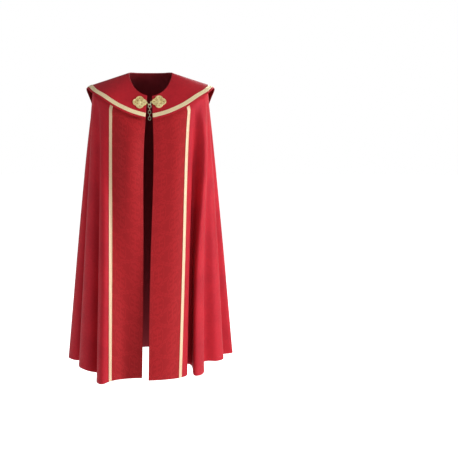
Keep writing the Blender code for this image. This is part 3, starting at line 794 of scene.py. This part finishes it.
# ---------------------------------------------------------------- hood
# The hood of a cope is flat: an interlined shield of the same red cloth, from the neckline over the
# shoulders to a point at the back. Its edge is turned under and pressed to a firm roll.
HOOD_CLOTH = 0.0022
HOOD_EASE = 0.0008  # gap between the hood and the cloth at the neckline
HOOD_LIFT = CLOTH / 2 + HOOD_EASE + HOOD_CLOTH / 2
HOOD_BRAID_WIDTH = 0.0190
BRAID_MARGIN = 0.0085  # plain cloth between the hood's edge and its braid
HOOD_HALF_COLUMNS = 150
HOOD_ROWS = 46
HOOD_NECK_ROW = 0.006  # share of the way to the braid of the row close to the neckline
# Rows of the margin, as shares of the way from the braid to the edge, and how far the roll of the
# edge swells the cloth at each.
HOOD_ROLLED = {0.3: 0.0003, 0.62: 0.0006, 0.86: 0.0004, 1.0: -0.0002}
HOOD_FAN = 0.395  # turn in the flat cut for each turn round the figure
EDGE_POINTS = 1441  # points along half of the hood's edge that a distance is measured from
HOOD_PROFILE = [
    Profile(0, 0.098, -0.058, 64.0, 0.200, 0.100, 84.0),
    Profile(22, 0.100, -0.048, 58.0, 0.200, 0.100, 84.0),
    Profile(45, 0.099, -0.021, 42.0, 0.200, 0.085, 84.0),
    Profile(70, 0.098, 0.022, 24.0, 0.200, 0.060, 84.0),
    Profile(90, 0.098, 0.050, 18.0, 0.184, 0.042, 84.0),
    Profile(110, 0.095, 0.056, 20.5, 0.153, 0.050, 81.5),
    Profile(135, 0.087, 0.057, 31.0, 0.112, 0.078, 80.0),
    Profile(180, 0.072, 0.058, 49.0, 0.085, 0.124, 79.0),
]
Depth = namedtuple("Depth", "angle depth")
HOOD_DEPTHS = [
    Depth(0, 0.117),
    Depth(20, 0.121),
    Depth(40, 0.138),
    Depth(60, 0.164),
    Depth(75, 0.190),
    Depth(89, 0.205),
    Depth(98, 0.224),
    Depth(108, 0.268),
    Depth(122, 0.385),
    Depth(140, 0.510),
    Depth(153, 0.545),
    Depth(166, 0.572),
    Depth(180, 0.606),
]
# Low soft rolls in the hood: the angle and length down it where each starts and ends.
HOOD_ROLLS = [
    Crease(50, 0.015, 66, 0.165, 0.016, 0.0016),
    Crease(288, 0.015, 300, 0.120, 0.016, 0.0014),
    Crease(160, 0.060, 152, 0.430, 0.034, 0.0030),
    Crease(204, 0.080, 212, 0.400, 0.036, 0.0028),
    Crease(181, 0.220, 178, 0.560, 0.030, 0.0024),
]


def hood_surface(angle, along):
    """Points in the middle of the hood's cloth, lifted by its soft rolls."""
    lift = creased(HOOD_ROLLS, angle, along, 0.10 + 0.5 * along)
    return laid(HOOD_PROFILE, angle, along, HOOD_LIFT + lift)


def inside_edge(distance, angle):
    """Length down the hood, at an angle of its first half, of a line that keeps a distance from
    the hood's edge."""
    edge_angle = np.linspace(0, math.pi, EDGE_POINTS)
    depth = by_angle(HOOD_DEPTHS, "depth", edge_angle, pointed=True)
    edge = laid(HOOD_PROFILE, edge_angle, depth)
    aside = np.hypot(edge[:, 0], edge[:, 1]) * (edge_angle - angle[:, None])
    above = np.sqrt(np.maximum(distance**2 - aside**2, 0))
    return np.where(np.abs(aside) < distance, depth - above, np.inf).min(axis=1)


hood_left = np.linspace(LINE_ANGLES[0], math.pi, HOOD_HALF_COLUMNS)
hood_right = np.linspace(math.pi, LINE_ANGLES[-1], HOOD_HALF_COLUMNS)
hood_angle = np.concatenate([hood_left, hood_right[1:]])
hood_half = math.pi - np.abs(math.pi - hood_angle)
braid_inner = inside_edge(BRAID_MARGIN + HOOD_BRAID_WIDTH, hood_half)
braid_outer = inside_edge(BRAID_MARGIN, hood_half)
hood_edge = by_angle(HOOD_DEPTHS, "depth", hood_angle, pointed=True)
upper = np.concatenate([[0, HOOD_NECK_ROW], np.linspace(0, 1, HOOD_ROWS, endpoint=False)[1:]])
under_braid = braid_inner + np.linspace(0, 1, 5)[:, None] * (braid_outer - braid_inner)
margin = braid_outer + np.array([*HOOD_ROLLED])[:, None] * (hood_edge - braid_outer)
along = np.concatenate([upper[:, None] * braid_inner, under_braid, margin])
cut = fanned_cut((hood_angle - math.pi) * HOOD_FAN, NECK_CUT + along)
rolled = np.zeros_like(along)
rolled[-len(HOOD_ROLLED):] = np.array([*HOOD_ROLLED.values()])[:, None]
points = hood_surface(hood_angle, along)
hood = sheet_wall("hood_sewn", points, HOOD_CLOTH, cut, red_finish, rolled)
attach(hood, "cope")
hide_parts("hood")

# ---------------------------------------------------------------- hood braids
# A wider braid of the same gold thread follows the hood's edge, just inside it. Two lengths of it
# meet in a folded mitre at the point of the back, and two rows of stitches hold each one.
hood_gold = braid_finish(
    "gold hood braid", HOOD_BRAID_WIDTH, (1.0, 0.87, 0.54, 1), (0.84, 0.65, 0.34, 1),
    (0.98, 0.77, 0.50, 1),
)
across_share = (BRAID_COLUMNS[:, None] + 1) / 2
hood_braid_rows = []
for name, columns, mitre, way in (
    ("left", slice(0, HOOD_HALF_COLUMNS), -1, -1),
    ("right", slice(HOOD_HALF_COLUMNS - 1, None), 0, 1),
):
    inner, outer = braid_inner[columns], braid_outer[columns]
    points = hood_surface(hood_angle[columns], inner + across_share * (outer - inner))
    middle = lifted(points, HOOD_CLOTH / 2 + SEAM + BRAID_THICK / 2)
    middle[:, mitre, 0] += way * SEAM / 2
    length = flat_lengths(points.transpose(1, 0, 2))[:, len(BRAID_COLUMNS) // 2]
    cut = flat_cut((across_share - 0.5) * HOOD_BRAID_WIDTH, length - length[mitre])
    braid = sheet_wall(
        f"hood_braid_{name}_sewn", middle, BRAID_THICK, cut, hood_gold, braid_rise[:, None]
    )
    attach(braid, "cope")
    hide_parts(f"hood_braid_{name}")
    top = lifted(points, HOOD_CLOTH / 2 + SEAM + BRAID_THICK + THREAD_RISE)
    hood_braid_rows += [top[column, 1:-1] for column in SEWN_COLUMNS]
stitch("hood_braid_stitches", hood_braid_rows, thread_gold, "gold_braid", **braid_stitch)

# ---------------------------------------------------------------- hem and edge stitches
# The hem, the front edges and the hood's neckline are turned in and held by a row of small
# stitches in red thread.
STITCH_RISE = 0.0001  # how high the red thread lies on the cloth
EDGE_INSET, NECK_INSET = 0.006, 0.005  # from an edge to its stitches
EDGE_LEVELS = np.linspace(1.2, 2.97, 160)
HEM_STEP = 0.008  # between the points of a hem's row of stitches
HEM_END = 0.004  # from a front edge to the hem's first stitch
NEIGHBOURS = np.array([-0.001, 0.0, 0.001])  # rows beside a row of stitches give its normals
red_thread = thread_finish(
    "red sewing thread", 0.5, (0.24, 0.006, 0.009, 1), (0.38, 0.010, 0.016, 1)
)
red_stitch = {"step": 0.0070, "length": 0.0034, "thickness": 0.0006}
hem_paths = []
for start, end in (
    (HEM_END, PLACE["seam_left"] - BRAID_WIDTH),
    (PLACE["seam_left"] + BRAID_WIDTH, PLACE["seam_right"] - BRAID_WIDTH),
    (PLACE["seam_right"] + BRAID_WIDTH, HEM_PLACES[-1] - HEM_END),
):
    place = np.linspace(start, end, max(40, int((end - start) / HEM_STEP)))
    points = cope_point(place, 3 - HEM_TURN + NEIGHBOURS[:, None])
    hem_paths.append(lifted(points, CLOTH / 2 + HEM_SWELL * 0.6)[1])
stitch("hem_stitches", hem_paths, red_thread, "red_cloth", **red_stitch)
edge_paths = []
for line, way in (("edge_left", 1), ("edge_right", -1)):
    insets = EDGE_INSET * way + NEIGHBOURS
    columns = [beside(line, inset, EDGE_LEVELS) for inset in insets]
    points = cope_point(np.stack(columns, axis=1), EDGE_LEVELS[:, None])
    edge_paths.append(lifted(points, CLOTH / 2 + STITCH_RISE)[:, 1])
stitch("front_edge_stitches", edge_paths, red_thread, "damask", **red_stitch)
points = hood_surface(hood_angle, NECK_INSET + NEIGHBOURS[:, None])
points = lifted(points, HOOD_CLOTH / 2 + STITCH_RISE)
stitch("neckline_stitches", [points[1, 2:-2]], red_thread, "red_cloth",
       step=0.0060, length=0.0032, thickness=0.0006)

# ---------------------------------------------------------------- clasp plates
# Two cast plates of gilt brass in the shape of a quatrefoil, pierced, with a round rim, scrolls,
# beads and a domed boss. Each is sewn flat on the hood through its piercings.
PLATE_HALF = 0.0315  # middle to the tip of a lobe
PLATE_THICK = 0.0026
PLATE_TOP = PLATE_THICK / 2
PLATE_LOBE = 0.0175  # radius of a lobe
PLATE_EDGE = 0.0003  # bevel of the cast plate
PLATE_CENTRES = {"left": (-0.0485, -0.087), "right": (0.0385, -0.084)}  # x and z
LUG, LUG_EYE = 0.0042, 0.0023  # radii of the round lug that holds the chain, and of its eye
LUG_OUT = 0.0028  # from the tip of the lobe to the lug's middle
# The two wires along a plate's edge: their thickness, distance from it, and points on each lobe.
RIM_WIRE, RIM_INSET, RIM_POINTS = 0.0017, 0.0011, 18
INNER_WIRE, INNER_INSET, INNER_POINTS = 0.0008, 0.0034, 16
SCROLL_WIRE, SCROLL_POINTS = 0.0010, 22
SCROLL_CLOSING, SCROLL_THINNING = 0.55, 0.25  # how a scroll and its wire shrink on the way in
# Places on a plate are a reach from its middle and a distance aside, which is mirrored where it
# isn't 0. They run out along the lobes or along the notches.
Spot = namedtuple("Spot", "reach aside size")
LOBE_HOLES = [
    Spot(0.0195, 0, 0.0026), Spot(0.0262, 0, 0.0014),
    Spot(0.0190, 0.0078, 0.0013), Spot(0.0240, 0.0052, 0.0010),
]
NOTCH_HOLES = [Spot(0.0125, 0, 0.0026), Spot(0.0196, 0, 0.0013)]
LOBE_BEADS = [Spot(0.0288, 0, 0.0009), Spot(0.0234, 0, 0.0009), Spot(0.0158, 0, 0.0008)]
NOTCH_BEADS = [Spot(0.0164, 0, 0.0010), Spot(0.0220, 0, 0.0008)]
# A scroll winds its turns one way or the other, from a lean given in half turns.
Scroll = namedtuple("Scroll", "reach aside size turns lean way")
SCROLLS = [
    Scroll(0.0190, 0.0078, 0.0034, 1.6, 0.75, 1),
    Scroll(0.0240, 0.0052, 0.0027, 1.4, -0.60, -1),
    Scroll(0.0132, 0.0028, 0.0024, 1.4, 1.00, 1),
]
BeadRing = namedtuple("BeadRing", "reach size count rise")
BEAD_RINGS = [  # round the boss and on it, the last one a single bead on its top
    BeadRing(0.0084, 0.0007, 20, -0.0001), BeadRing(0.0032, 0.0005, 8, 0.0015),
    BeadRing(0.0, 0.0015, 1, 0.0018),
]
BEAD_SINK = 0.0002  # how far the middle of a lobe's or notch's bead is under the plate's top
BEAD_SEGMENTS = 10
BEAD_TURNS = (0.0, 0.45, 0.9, 1.3, 1.7)  # from the top of a bead to each row, just past its widest
BOSS = [  # radius of its profile and height on the plate, from the top
    (0.0, 0.0021), (0.0018, 0.0020), (0.0034, 0.0016), (0.0048, 0.0010), (0.0058, 0.0005),
    (0.0068, 0.0),
]
BOSS_SEGMENTS, BOSS_PETALS, BOSS_RIPPLE = 48, 8, 0.10


def make_metal_group():
    """Cast metal: a fine uneven surface, and dull patches where the gilding is worn."""
    tree, given, result = group("Cast metal", {"Grain": 260.0, "Wear": 55.0}, ("Height", "Wear"))
    place = read(tree, "ShaderNodeTexCoord", {}, "Object")
    wear = noise(place, given["Wear"], 4.0).eased(0.40, 0.62)
    give(result, {"Height": noise(place, given["Grain"], 5.0), "Wear": wear})
    return tree


METAL = make_metal_group()


def metal_finish(name, bright, dull, roughness, relief, metallic):
    """Gilt metal, duller and rougher where it is worn."""
    made, shader = plain_finish(name, Metallic=metallic)
    cast = use(shader.id_data, METAL, {})
    give(shader, {
        "Base Color": tint(cast["Wear"], bright, dull),
        "Roughness": cast["Wear"] * 0.16 + roughness,
        "Normal": bumped(cast["Height"], relief),
    })
    return made


gilt = metal_finish("gilt brass", (1.0, 0.90, 0.50, 1), (0.92, 0.77, 0.37, 1), 0.36, 0.0004, 0.50)
# The plate's base, under and between its raised wires, is a darker gilt: painted shade in its
# recesses.
gilt_in_painted_recess_shade = metal_finish(
    "gilt brass with painted shade in the recesses", (0.96, 0.80, 0.40, 1), (0.62, 0.45, 0.17, 1), 0.46, 0.0006, 0.45
)


def arc(middle, radius, start, end, count):
    """Points of an arc whose centre is on the X axis, the last one left out."""
    turns = [start + (end - start) * i / count for i in range(count)]
    return [(middle + radius * math.cos(turn), radius * math.sin(turn)) for turn in turns]


def turned_about(points, angle):
    across, along = math.sin(angle), math.cos(angle)
    return [(x * along - y * across, x * across + y * along) for x, y in points]


def plate_outline(with_lug, inset=0.0, count=18):
    """A lozenge whose four corners are round lobes that meet in notches. The lug, if any, stands
    out of the lobe at -X."""
    middle = PLATE_HALF - PLATE_LOBE
    lobe_radius = PLATE_LOBE - inset
    notch = math.pi / 4 + math.asin(middle / (lobe_radius * math.sqrt(2)))
    lobe = arc(middle, lobe_radius, -notch, notch, count)
    outline = []
    for corner in range(4):
        shape = lobe
        if with_lug and corner == 2:
            apart = LUG_OUT + PLATE_LOBE
            root = (apart**2 + PLATE_LOBE**2 - LUG**2) / (2 * apart)
            rise = math.sqrt(PLATE_LOBE**2 - root**2)
            at_lobe, at_lug = math.atan2(rise, root), math.atan2(rise, root - apart)
            shape = (
                arc(middle, PLATE_LOBE, -notch, -at_lobe, count // 2)
                + arc(PLATE_HALF + LUG_OUT, LUG, -at_lug, at_lug, count)
                + arc(middle, PLATE_LOBE, at_lobe, notch, count // 2)
            )
        outline += turned_about(shape, math.pi / 2 * corner)
    return outline


def all_round(along_lobes, along_notches):
    """Each place of the tables, with its turn about the plate's middle and its hand."""
    for corner in range(4):
        for table, lean in ((along_lobes, 0), (along_notches, math.pi / 4)):
            for spot in table:
                for hand in (-1, 1) if spot.aside else (1,):
                    yield spot, corner * math.pi / 2 + lean, hand


def plate_holes(with_lug, count=16):
    """The pierced work of a plate, and the lug's eye."""
    holes = []
    for spot, turn, hand in all_round(LOBE_HOLES, NOTCH_HOLES):
        ring = arc(spot.reach, spot.size, 0, 2 * math.pi, count)
        holes.append(turned_about([(x, y + spot.aside * hand) for x, y in ring], turn))
    if with_lug:
        eye = arc(PLATE_HALF + LUG_OUT, LUG_EYE, 0, 2 * math.pi, count)
        holes.append(turned_about(eye, math.pi))
    return holes


def hood_front(x, z, step=1e-4):
    """The hood's outer face and its normal at a place on the chest seen from the front."""
    # Newton's method, from a first guess at the angle and the length down from the neckline.
    guess = np.array([math.atan2(-x, 0.13) % (2 * math.pi), 0.05])
    for _ in range(12):
        here, turned, slid = (
            laid(HOOD_PROFILE, guess[0] + turn, guess[1] + slide, HOOD_LIFT + HOOD_CLOTH / 2)
            for turn, slide in ((0, 0), (step, 0), (0, step))
        )
        change = np.stack([(turned - here) / step, (slid - here) / step], axis=1)
        missing = np.array([x - here[0], z - here[2]])
        guess = guess + np.linalg.solve(change[[0, 2]], missing)
    across = np.cross(change[:, 0], change[:, 1])
    return Vector(here), Vector(across / np.linalg.norm(across))


def plate_frame(side):
    """Where a plate lies: flat on the highest cloth under it, its Z off the cloth."""
    point, off = hood_front(*PLATE_CENTRES[side])
    right = Vector((1, 0, 0))
    right = (right - off * right.dot(off)).normalized()
    up = off.cross(right)
    highest = 0.0
    for x, y in plate_outline(False, count=8):
        under = point + right * x + up * y
        highest = max(highest, (hood_front(under.x, under.z)[0] - point).dot(off))
    middle = point + off * (highest + SEAM + PLATE_THICK / 2)
    return Matrix.Translation(middle) @ Matrix((right, up, off)).transposed().to_4x4()


def curve_mesh(name, paths, closed, thick, resolution=2, extrude=0.0, flat=False, thinning=0.0):
    """The mesh of round wires along paths, or of a flat plate between them with a round edge."""
    curve = bpy.data.curves.new(name, "CURVE")
    curve.dimensions, curve.fill_mode = ("2D", "BOTH") if flat else ("3D", "FULL")
    curve.extrude, curve.bevel_depth, curve.bevel_resolution = extrude, thick / 2, resolution
    curve.use_fill_caps = not closed and not flat
    for path in paths:
        spline = curve.splines.new("POLY")
        spline.points.add(len(path) - 1)
        for number, (point, place) in enumerate(zip(spline.points, path)):
            point.co = (*place, *(0,) * (3 - len(place)), 1)
            point.radius = 1.0 - thinning * number / (len(path) - 1)
        spline.use_cyclic_u = closed
    return baked(placed(name, curve))


def joined(name, dressed, place=Matrix.Identity(4), sharp=40.0):
    """One piece from meshes, which are listed under their finishes, put in its place."""
    vertices, faces, slots = [], [], []
    for slot, meshes in enumerate(dressed.values()):
        for mesh in meshes:
            start = len(vertices)
            vertices += [tuple(place @ vertex.co) for vertex in mesh.vertices]
            faces += [tuple(start + i for i in face.vertices) for face in mesh.polygons]
            slots += [slot] * len(mesh.polygons)
    whole = new_mesh(name, vertices, [], faces)
    for finish in dressed:
        whole.materials.append(finish)
    whole.polygons.foreach_set("material_index", slots)
    whole.shade_smooth()
    whole.set_sharp_from_angle(angle=math.radians(sharp))
    return placed(name, whole)


def dome(segments, profile, ripple=0.0, petals=0):
    """A closed turned shape from a profile of (radius, height), its edge rippled into petals."""
    vertices = [(0, 0, profile[0][1])]
    for radius, height in profile[1:]:
        for i in range(segments):
            turn = 2 * math.pi * i / segments
            reach = radius * (1 + ripple * math.cos(petals * turn) * radius / profile[-1][0])
            vertices.append((reach * math.cos(turn), reach * math.sin(turn), height))
    faces = [(0, 1 + i, 1 + (i + 1) % segments) for i in range(segments)]
    for ring in range(len(profile) - 2):
        for i in range(segments):
            a, b = 1 + ring * segments + i, 1 + ring * segments + (i + 1) % segments
            faces.append((a, a + segments, b + segments, b))
    last = 1 + (len(profile) - 2) * segments
    faces.append(tuple(last + i for i in reversed(range(segments))))
    return new_mesh("dome", vertices, [], faces)


def make_bead_tree():
    """Beads of one shape, a bead on each point, as large as the point's own radius."""
    inputs = {"Places": "Geometry", "Bead": "Object", "Finish": "Material"}
    tree, given, result = group("Beads", inputs, ("Beads",), "Geometry")
    shape = read(tree, "GeometryNodeObjectInfo", {"Object": given["Bead"]}, "Geometry")
    radius = read(tree, "GeometryNodeInputNamedAttribute", {"Name": "radius"})
    inputs = {"Points": given["Places"], "Instance": shape, "Scale": radius}
    beads = read(tree, "GeometryNodeInstanceOnPoints", inputs)
    give(result, {"Beads": real_geometry(beads, given["Finish"])})
    return tree


BEADS = make_bead_tree()


def on_plate(spot, turn, hand=1):
    return turned_about([(spot.reach, spot.aside * hand)], turn)[0]


def plate_beads():
    """All the beads of a plate."""
    beads = [
        (*on_plate(spot, turn), PLATE_TOP - BEAD_SINK, spot.size)
        for spot, turn, _ in all_round(LOBE_BEADS, NOTCH_BEADS)
    ]
    for ring in BEAD_RINGS:
        round_boss = arc(0.0, ring.reach, 0, 2 * math.pi, ring.count)
        beads += [(*place, PLATE_TOP + ring.rise, ring.size) for place in round_boss]
    guide = new_mesh("beads", [place for *place, _ in beads], [], [])
    radius = guide.attributes.new("radius", "FLOAT", "POINT")
    radius.data.foreach_set("value", [size for *_, size in beads])
    profile = [(math.sin(turn), math.cos(turn)) for turn in BEAD_TURNS]
    shape = placed("bead", dome(BEAD_SEGMENTS, profile))
    made = grown_mesh("beads", guide, BEADS, {"Bead": shape, "Finish": gilt})
    bpy.data.objects.remove(shape, do_unlink=True)
    return made


def scroll(kind, quarter, hand):
    """A spiral wire that tightens towards its middle."""
    x, y = on_plate(kind, quarter, hand)
    path = []
    for i in range(SCROLL_POINTS):
        share = i / (SCROLL_POINTS - 1)
        turn = quarter + hand * math.pi * (kind.lean + kind.way * kind.turns * 2 * share)
        reach = kind.size * (1 - SCROLL_CLOSING * share)
        path.append((x + reach * math.cos(turn), y + reach * math.sin(turn), PLATE_TOP))
    return path


rim, inner = (
    [(x, y, PLATE_TOP) for x, y in plate_outline(False, inset, count)]
    for inset, count in ((RIM_INSET, RIM_POINTS), (INNER_INSET, INNER_POINTS))
)
scrolls = [scroll(*each) for each in all_round(SCROLLS, [])]
raised = [
    curve_mesh("rim", [rim], True, RIM_WIRE, resolution=3),
    curve_mesh("inner", [inner], True, INNER_WIRE),
    curve_mesh("scrolls", scrolls, False, SCROLL_WIRE, thinning=SCROLL_THINNING),
    dome(BOSS_SEGMENTS, [(r, PLATE_TOP + h) for r, h in BOSS], BOSS_RIPPLE, BOSS_PETALS),
    plate_beads(),
]
for side in ("left", "right"):
    with_lug = side == "right"
    base = curve_mesh(
        "base", [plate_outline(with_lug), *plate_holes(with_lug)], True, 2 * PLATE_EDGE,
        extrude=PLATE_THICK / 2 - PLATE_EDGE, flat=True,
    )
    # The base takes the darker gilt of painted recess shade, and the raised work takes the bright
    # gilt.
    dressed = {gilt_in_painted_recess_shade: [base], gilt: raised}
    plate = joined(f"clasp_plate_{side}_cast", dressed, plate_frame(side))
    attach(plate, "cope")
    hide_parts(f"clasp_plate_{side}")

# ---------------------------------------------------------------- hook and chain
# A bent wire hook on the left plate catches the second of six oval wire links. The first link is
# held in the right plate's eye, and the last four hang from the hooked one and can swing.
HOOK_WIRE = 0.0024
HOOK_LEAN = 40.0
HOOK_TAIL = 0.0035  # straight end past the bend
LINK_LENGTH, LINK_WIDTH, LINK_WIRE, LINK_PLAY = 0.0180, 0.0140, 0.0020, 0.0003
FIRST_LINK_LEAN = 24.0
TAIL_LINKS = 4
X_WAY, Y_WAY, Z_WAY = Vector((1, 0, 0)), Vector((0, 1, 0)), Vector((0, 0, 1))
LINK_STRAIGHT = (LINK_LENGTH - LINK_WIDTH) / 2
LINK_BEND = (LINK_WIDTH - LINK_WIRE) / 2
LINK_HALF = LINK_STRAIGHT + LINK_BEND
LINK_PITCH = 2 * LINK_HALF - LINK_WIRE - LINK_PLAY
STEEP = 30000.0  # turns a height on a ring into its sign

pale_wire = metal_finish(
    "pale gilt wire", (0.88, 0.82, 0.64, 1), (0.74, 0.66, 0.46, 1), 0.28, 0.0001, 0.80
)


def on_link(lean):
    """From a face-on link's middle to its wire, at a lean in degrees from its top to the right."""
    turn = math.radians(lean)
    return Vector((LINK_BEND * math.sin(turn), 0, LINK_STRAIGHT + LINK_BEND * math.cos(turn)))


def make_link_tree():
    """Oval wire links, one on each point, turned by the point's own attribute."""
    sizes = {"Bend": 0.0, "Straight": 0.0, "Wire": 0.0}
    inputs = {"Places": "Geometry", **sizes, "Finish": "Material"}
    tree, given, result = group("Links", inputs, ("Links",), "Geometry")
    circle = "GeometryNodeCurvePrimitiveCircle"
    ring = read(tree, circle, {"Resolution": 40, "Radius": given["Bend"]})
    height = parts(read(tree, "GeometryNodeInputPosition", {}))[1]
    way = read(tree, "ShaderNodeClamp", {"Value": height * STEEP, "Min": -1.0, "Max": 1.0})
    offset = read(tree, "ShaderNodeCombineXYZ", {"Y": way * given["Straight"]})
    oval = read(tree, "GeometryNodeSetPosition", {"Geometry": ring, "Offset": offset})
    section = read(tree, circle, {"Resolution": 12, "Radius": given["Wire"] / 2.0})
    link = read(tree, "GeometryNodeCurveToMesh", {"Curve": oval, "Profile Curve": section})
    turn = read(tree, "GeometryNodeInputNamedAttribute", {"Name": "turn"}, data_type="FLOAT_VECTOR")
    inputs = {"Points": given["Places"], "Instance": link, "Rotation": turn}
    links = read(tree, "GeometryNodeInstanceOnPoints", inputs)
    give(result, {"Links": real_geometry(links, given["Finish"])})
    return tree


LINKS = make_link_tree()


def link_turn(along, across):
    """Euler angles of a link that is long one way and narrow the other."""
    return Matrix((across, along, across.cross(along))).transposed().to_euler()


def chain(name, places, turns, body, *nodes):
    """A piece of links, each with its middle at a place and turned by its angles."""
    guide = new_mesh(name, [tuple(place) for place in places], [], [])
    turn = guide.attributes.new("turn", "FLOAT_VECTOR", "POINT")
    turn.data.foreach_set("vector", [value for euler in turns for value in euler])
    sizes = {"Bend": LINK_BEND, "Straight": LINK_STRAIGHT, "Wire": LINK_WIRE}
    made = grown(name, guide, LINKS, {**sizes, "Finish": pale_wire}, body)
    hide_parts(*nodes)


frame_right = plate_frame("right")
eye = frame_right @ Vector((-PLATE_HALF - LUG_OUT, 0, 0))
lean = math.radians(FIRST_LINK_LEAN)
down = frame_right.to_3x3() @ Vector((-math.sin(lean), -math.cos(lean), 0))
held = eye + down * (LUG_EYE - LINK_WIRE / 2 - LINK_PLAY)
second = held + down * LINK_PITCH - on_link(FIRST_LINK_LEAN)
chain(
    "chain_links_held",
    [held + down * LINK_HALF, second],
    [link_turn(down, frame_right.to_3x3() @ Z_WAY), link_turn(Z_WAY, X_WAY)],
    "cope", "chain_link_1", "chain_link_2",
)
tail = range(1, TAIL_LINKS + 1)
chain(
    "chain_links_hanging",
    [second - Z_WAY * LINK_PITCH * i for i in tail],
    [link_turn(Z_WAY, X_WAY if i % 2 == 0 else Y_WAY) for i in tail],
    "chain_tail", *(f"chain_link_{2 + i}" for i in tail),
)

caught = second + on_link(-HOOK_LEAN)
lean = math.radians(HOOK_LEAN)
onward = Vector((math.sin(lean), 0, -math.cos(lean)))
clear = (LINK_WIRE + HOOK_WIRE) / 2 + LINK_PLAY
root = plate_frame("left") @ Vector((PLATE_HALF + HOOK_WIRE / 2 + SEAM, 0, 0))
bend = [caught + (onward * math.sin(turn) + Y_WAY * math.cos(turn)) * clear
        for turn in np.linspace(0, math.pi, 19)]
tip = bend[-1] - onward * HOOK_TAIL
shank = [root.lerp(bend[0], i / 6) for i in range(6)]
straight = [bend[-1].lerp(tip, i / 3) for i in range(1, 4)]
hook_wire = curve_mesh("hook", [[*shank, *bend, *straight]], False, HOOK_WIRE, resolution=4)
hook = joined("clasp_hook_bent", {gilt: [hook_wire]})
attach(hook, "cope")
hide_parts("clasp_hook")

# ---------------------------------------------------------------- floor, light and camera
# A plain pale floor well below the hem, a large soft light from the viewer's right, and a low even
# light from all round.
FLOOR, FLOOR_HALF = -1.460, 40
floor_finish, shader = plain_finish(
    "pale floor", Roughness=0.9, Base_Color=(0.90, 0.90, 0.90, 1), Emission_Color=(1, 1, 1, 1)
)
seen = read(shader.id_data, "ShaderNodeLightPath", {}, "Is Camera Ray")
give(shader, {"Emission Strength": seen * 0.40 + 0.40})
corners = [(x * FLOOR_HALF, y * FLOOR_HALF, FLOOR) for x, y in ((-1, -1), (1, -1), (1, 1), (-1, 1))]
floor = placed("floor", new_mesh("floor", corners, [], [(0, 1, 2, 3)]))
floor.data.materials.append(floor_finish)

world = bpy.data.worlds.new("studio")
world.use_nodes = True
bpy.context.scene.world = world
seen = read(world.node_tree, "ShaderNodeLightPath", {}, "Is Camera Ray")
background = world.node_tree.nodes["Background"]
give(background, {"Strength": seen * 0.68 + 0.32, "Color": (1, 1, 1, 1)})

for name, place, aim, size, power in (
    ("key", (3.88, -1.69, 0.7), (0.0, 0.0, -0.55), 1.8, 158.0),
    ("fill", (-3.6, -1.9, 0.6), (0.0, 0.0, -0.6), 2.4, 13.0),
    ("back", (1.5, 3.6, 1.4), (0.0, 0.1, -0.5), 2.4, 90.0),
):
    data = bpy.data.lights.new(name, "AREA")
    data.shape, data.size, data.energy = "DISK", size, power
    light = placed(name, data)
    light.location = place
    light.rotation_euler = (Vector(aim) - Vector(place)).to_track_quat("-Z", "Y").to_euler()

camera_data = bpy.data.cameras.new("camera")
camera_data.lens, camera_data.sensor_width = 76.9, 36.0
camera_data.shift_x, camera_data.shift_y = 0.1714, -0.1722
camera = placed("camera", camera_data)
camera.location, camera.rotation_euler = (0, -4.5, -0.30), (math.pi / 2, 0, 0)
bpy.context.scene.camera = camera
bpy.context.scene.view_settings.view_transform = "Standard"
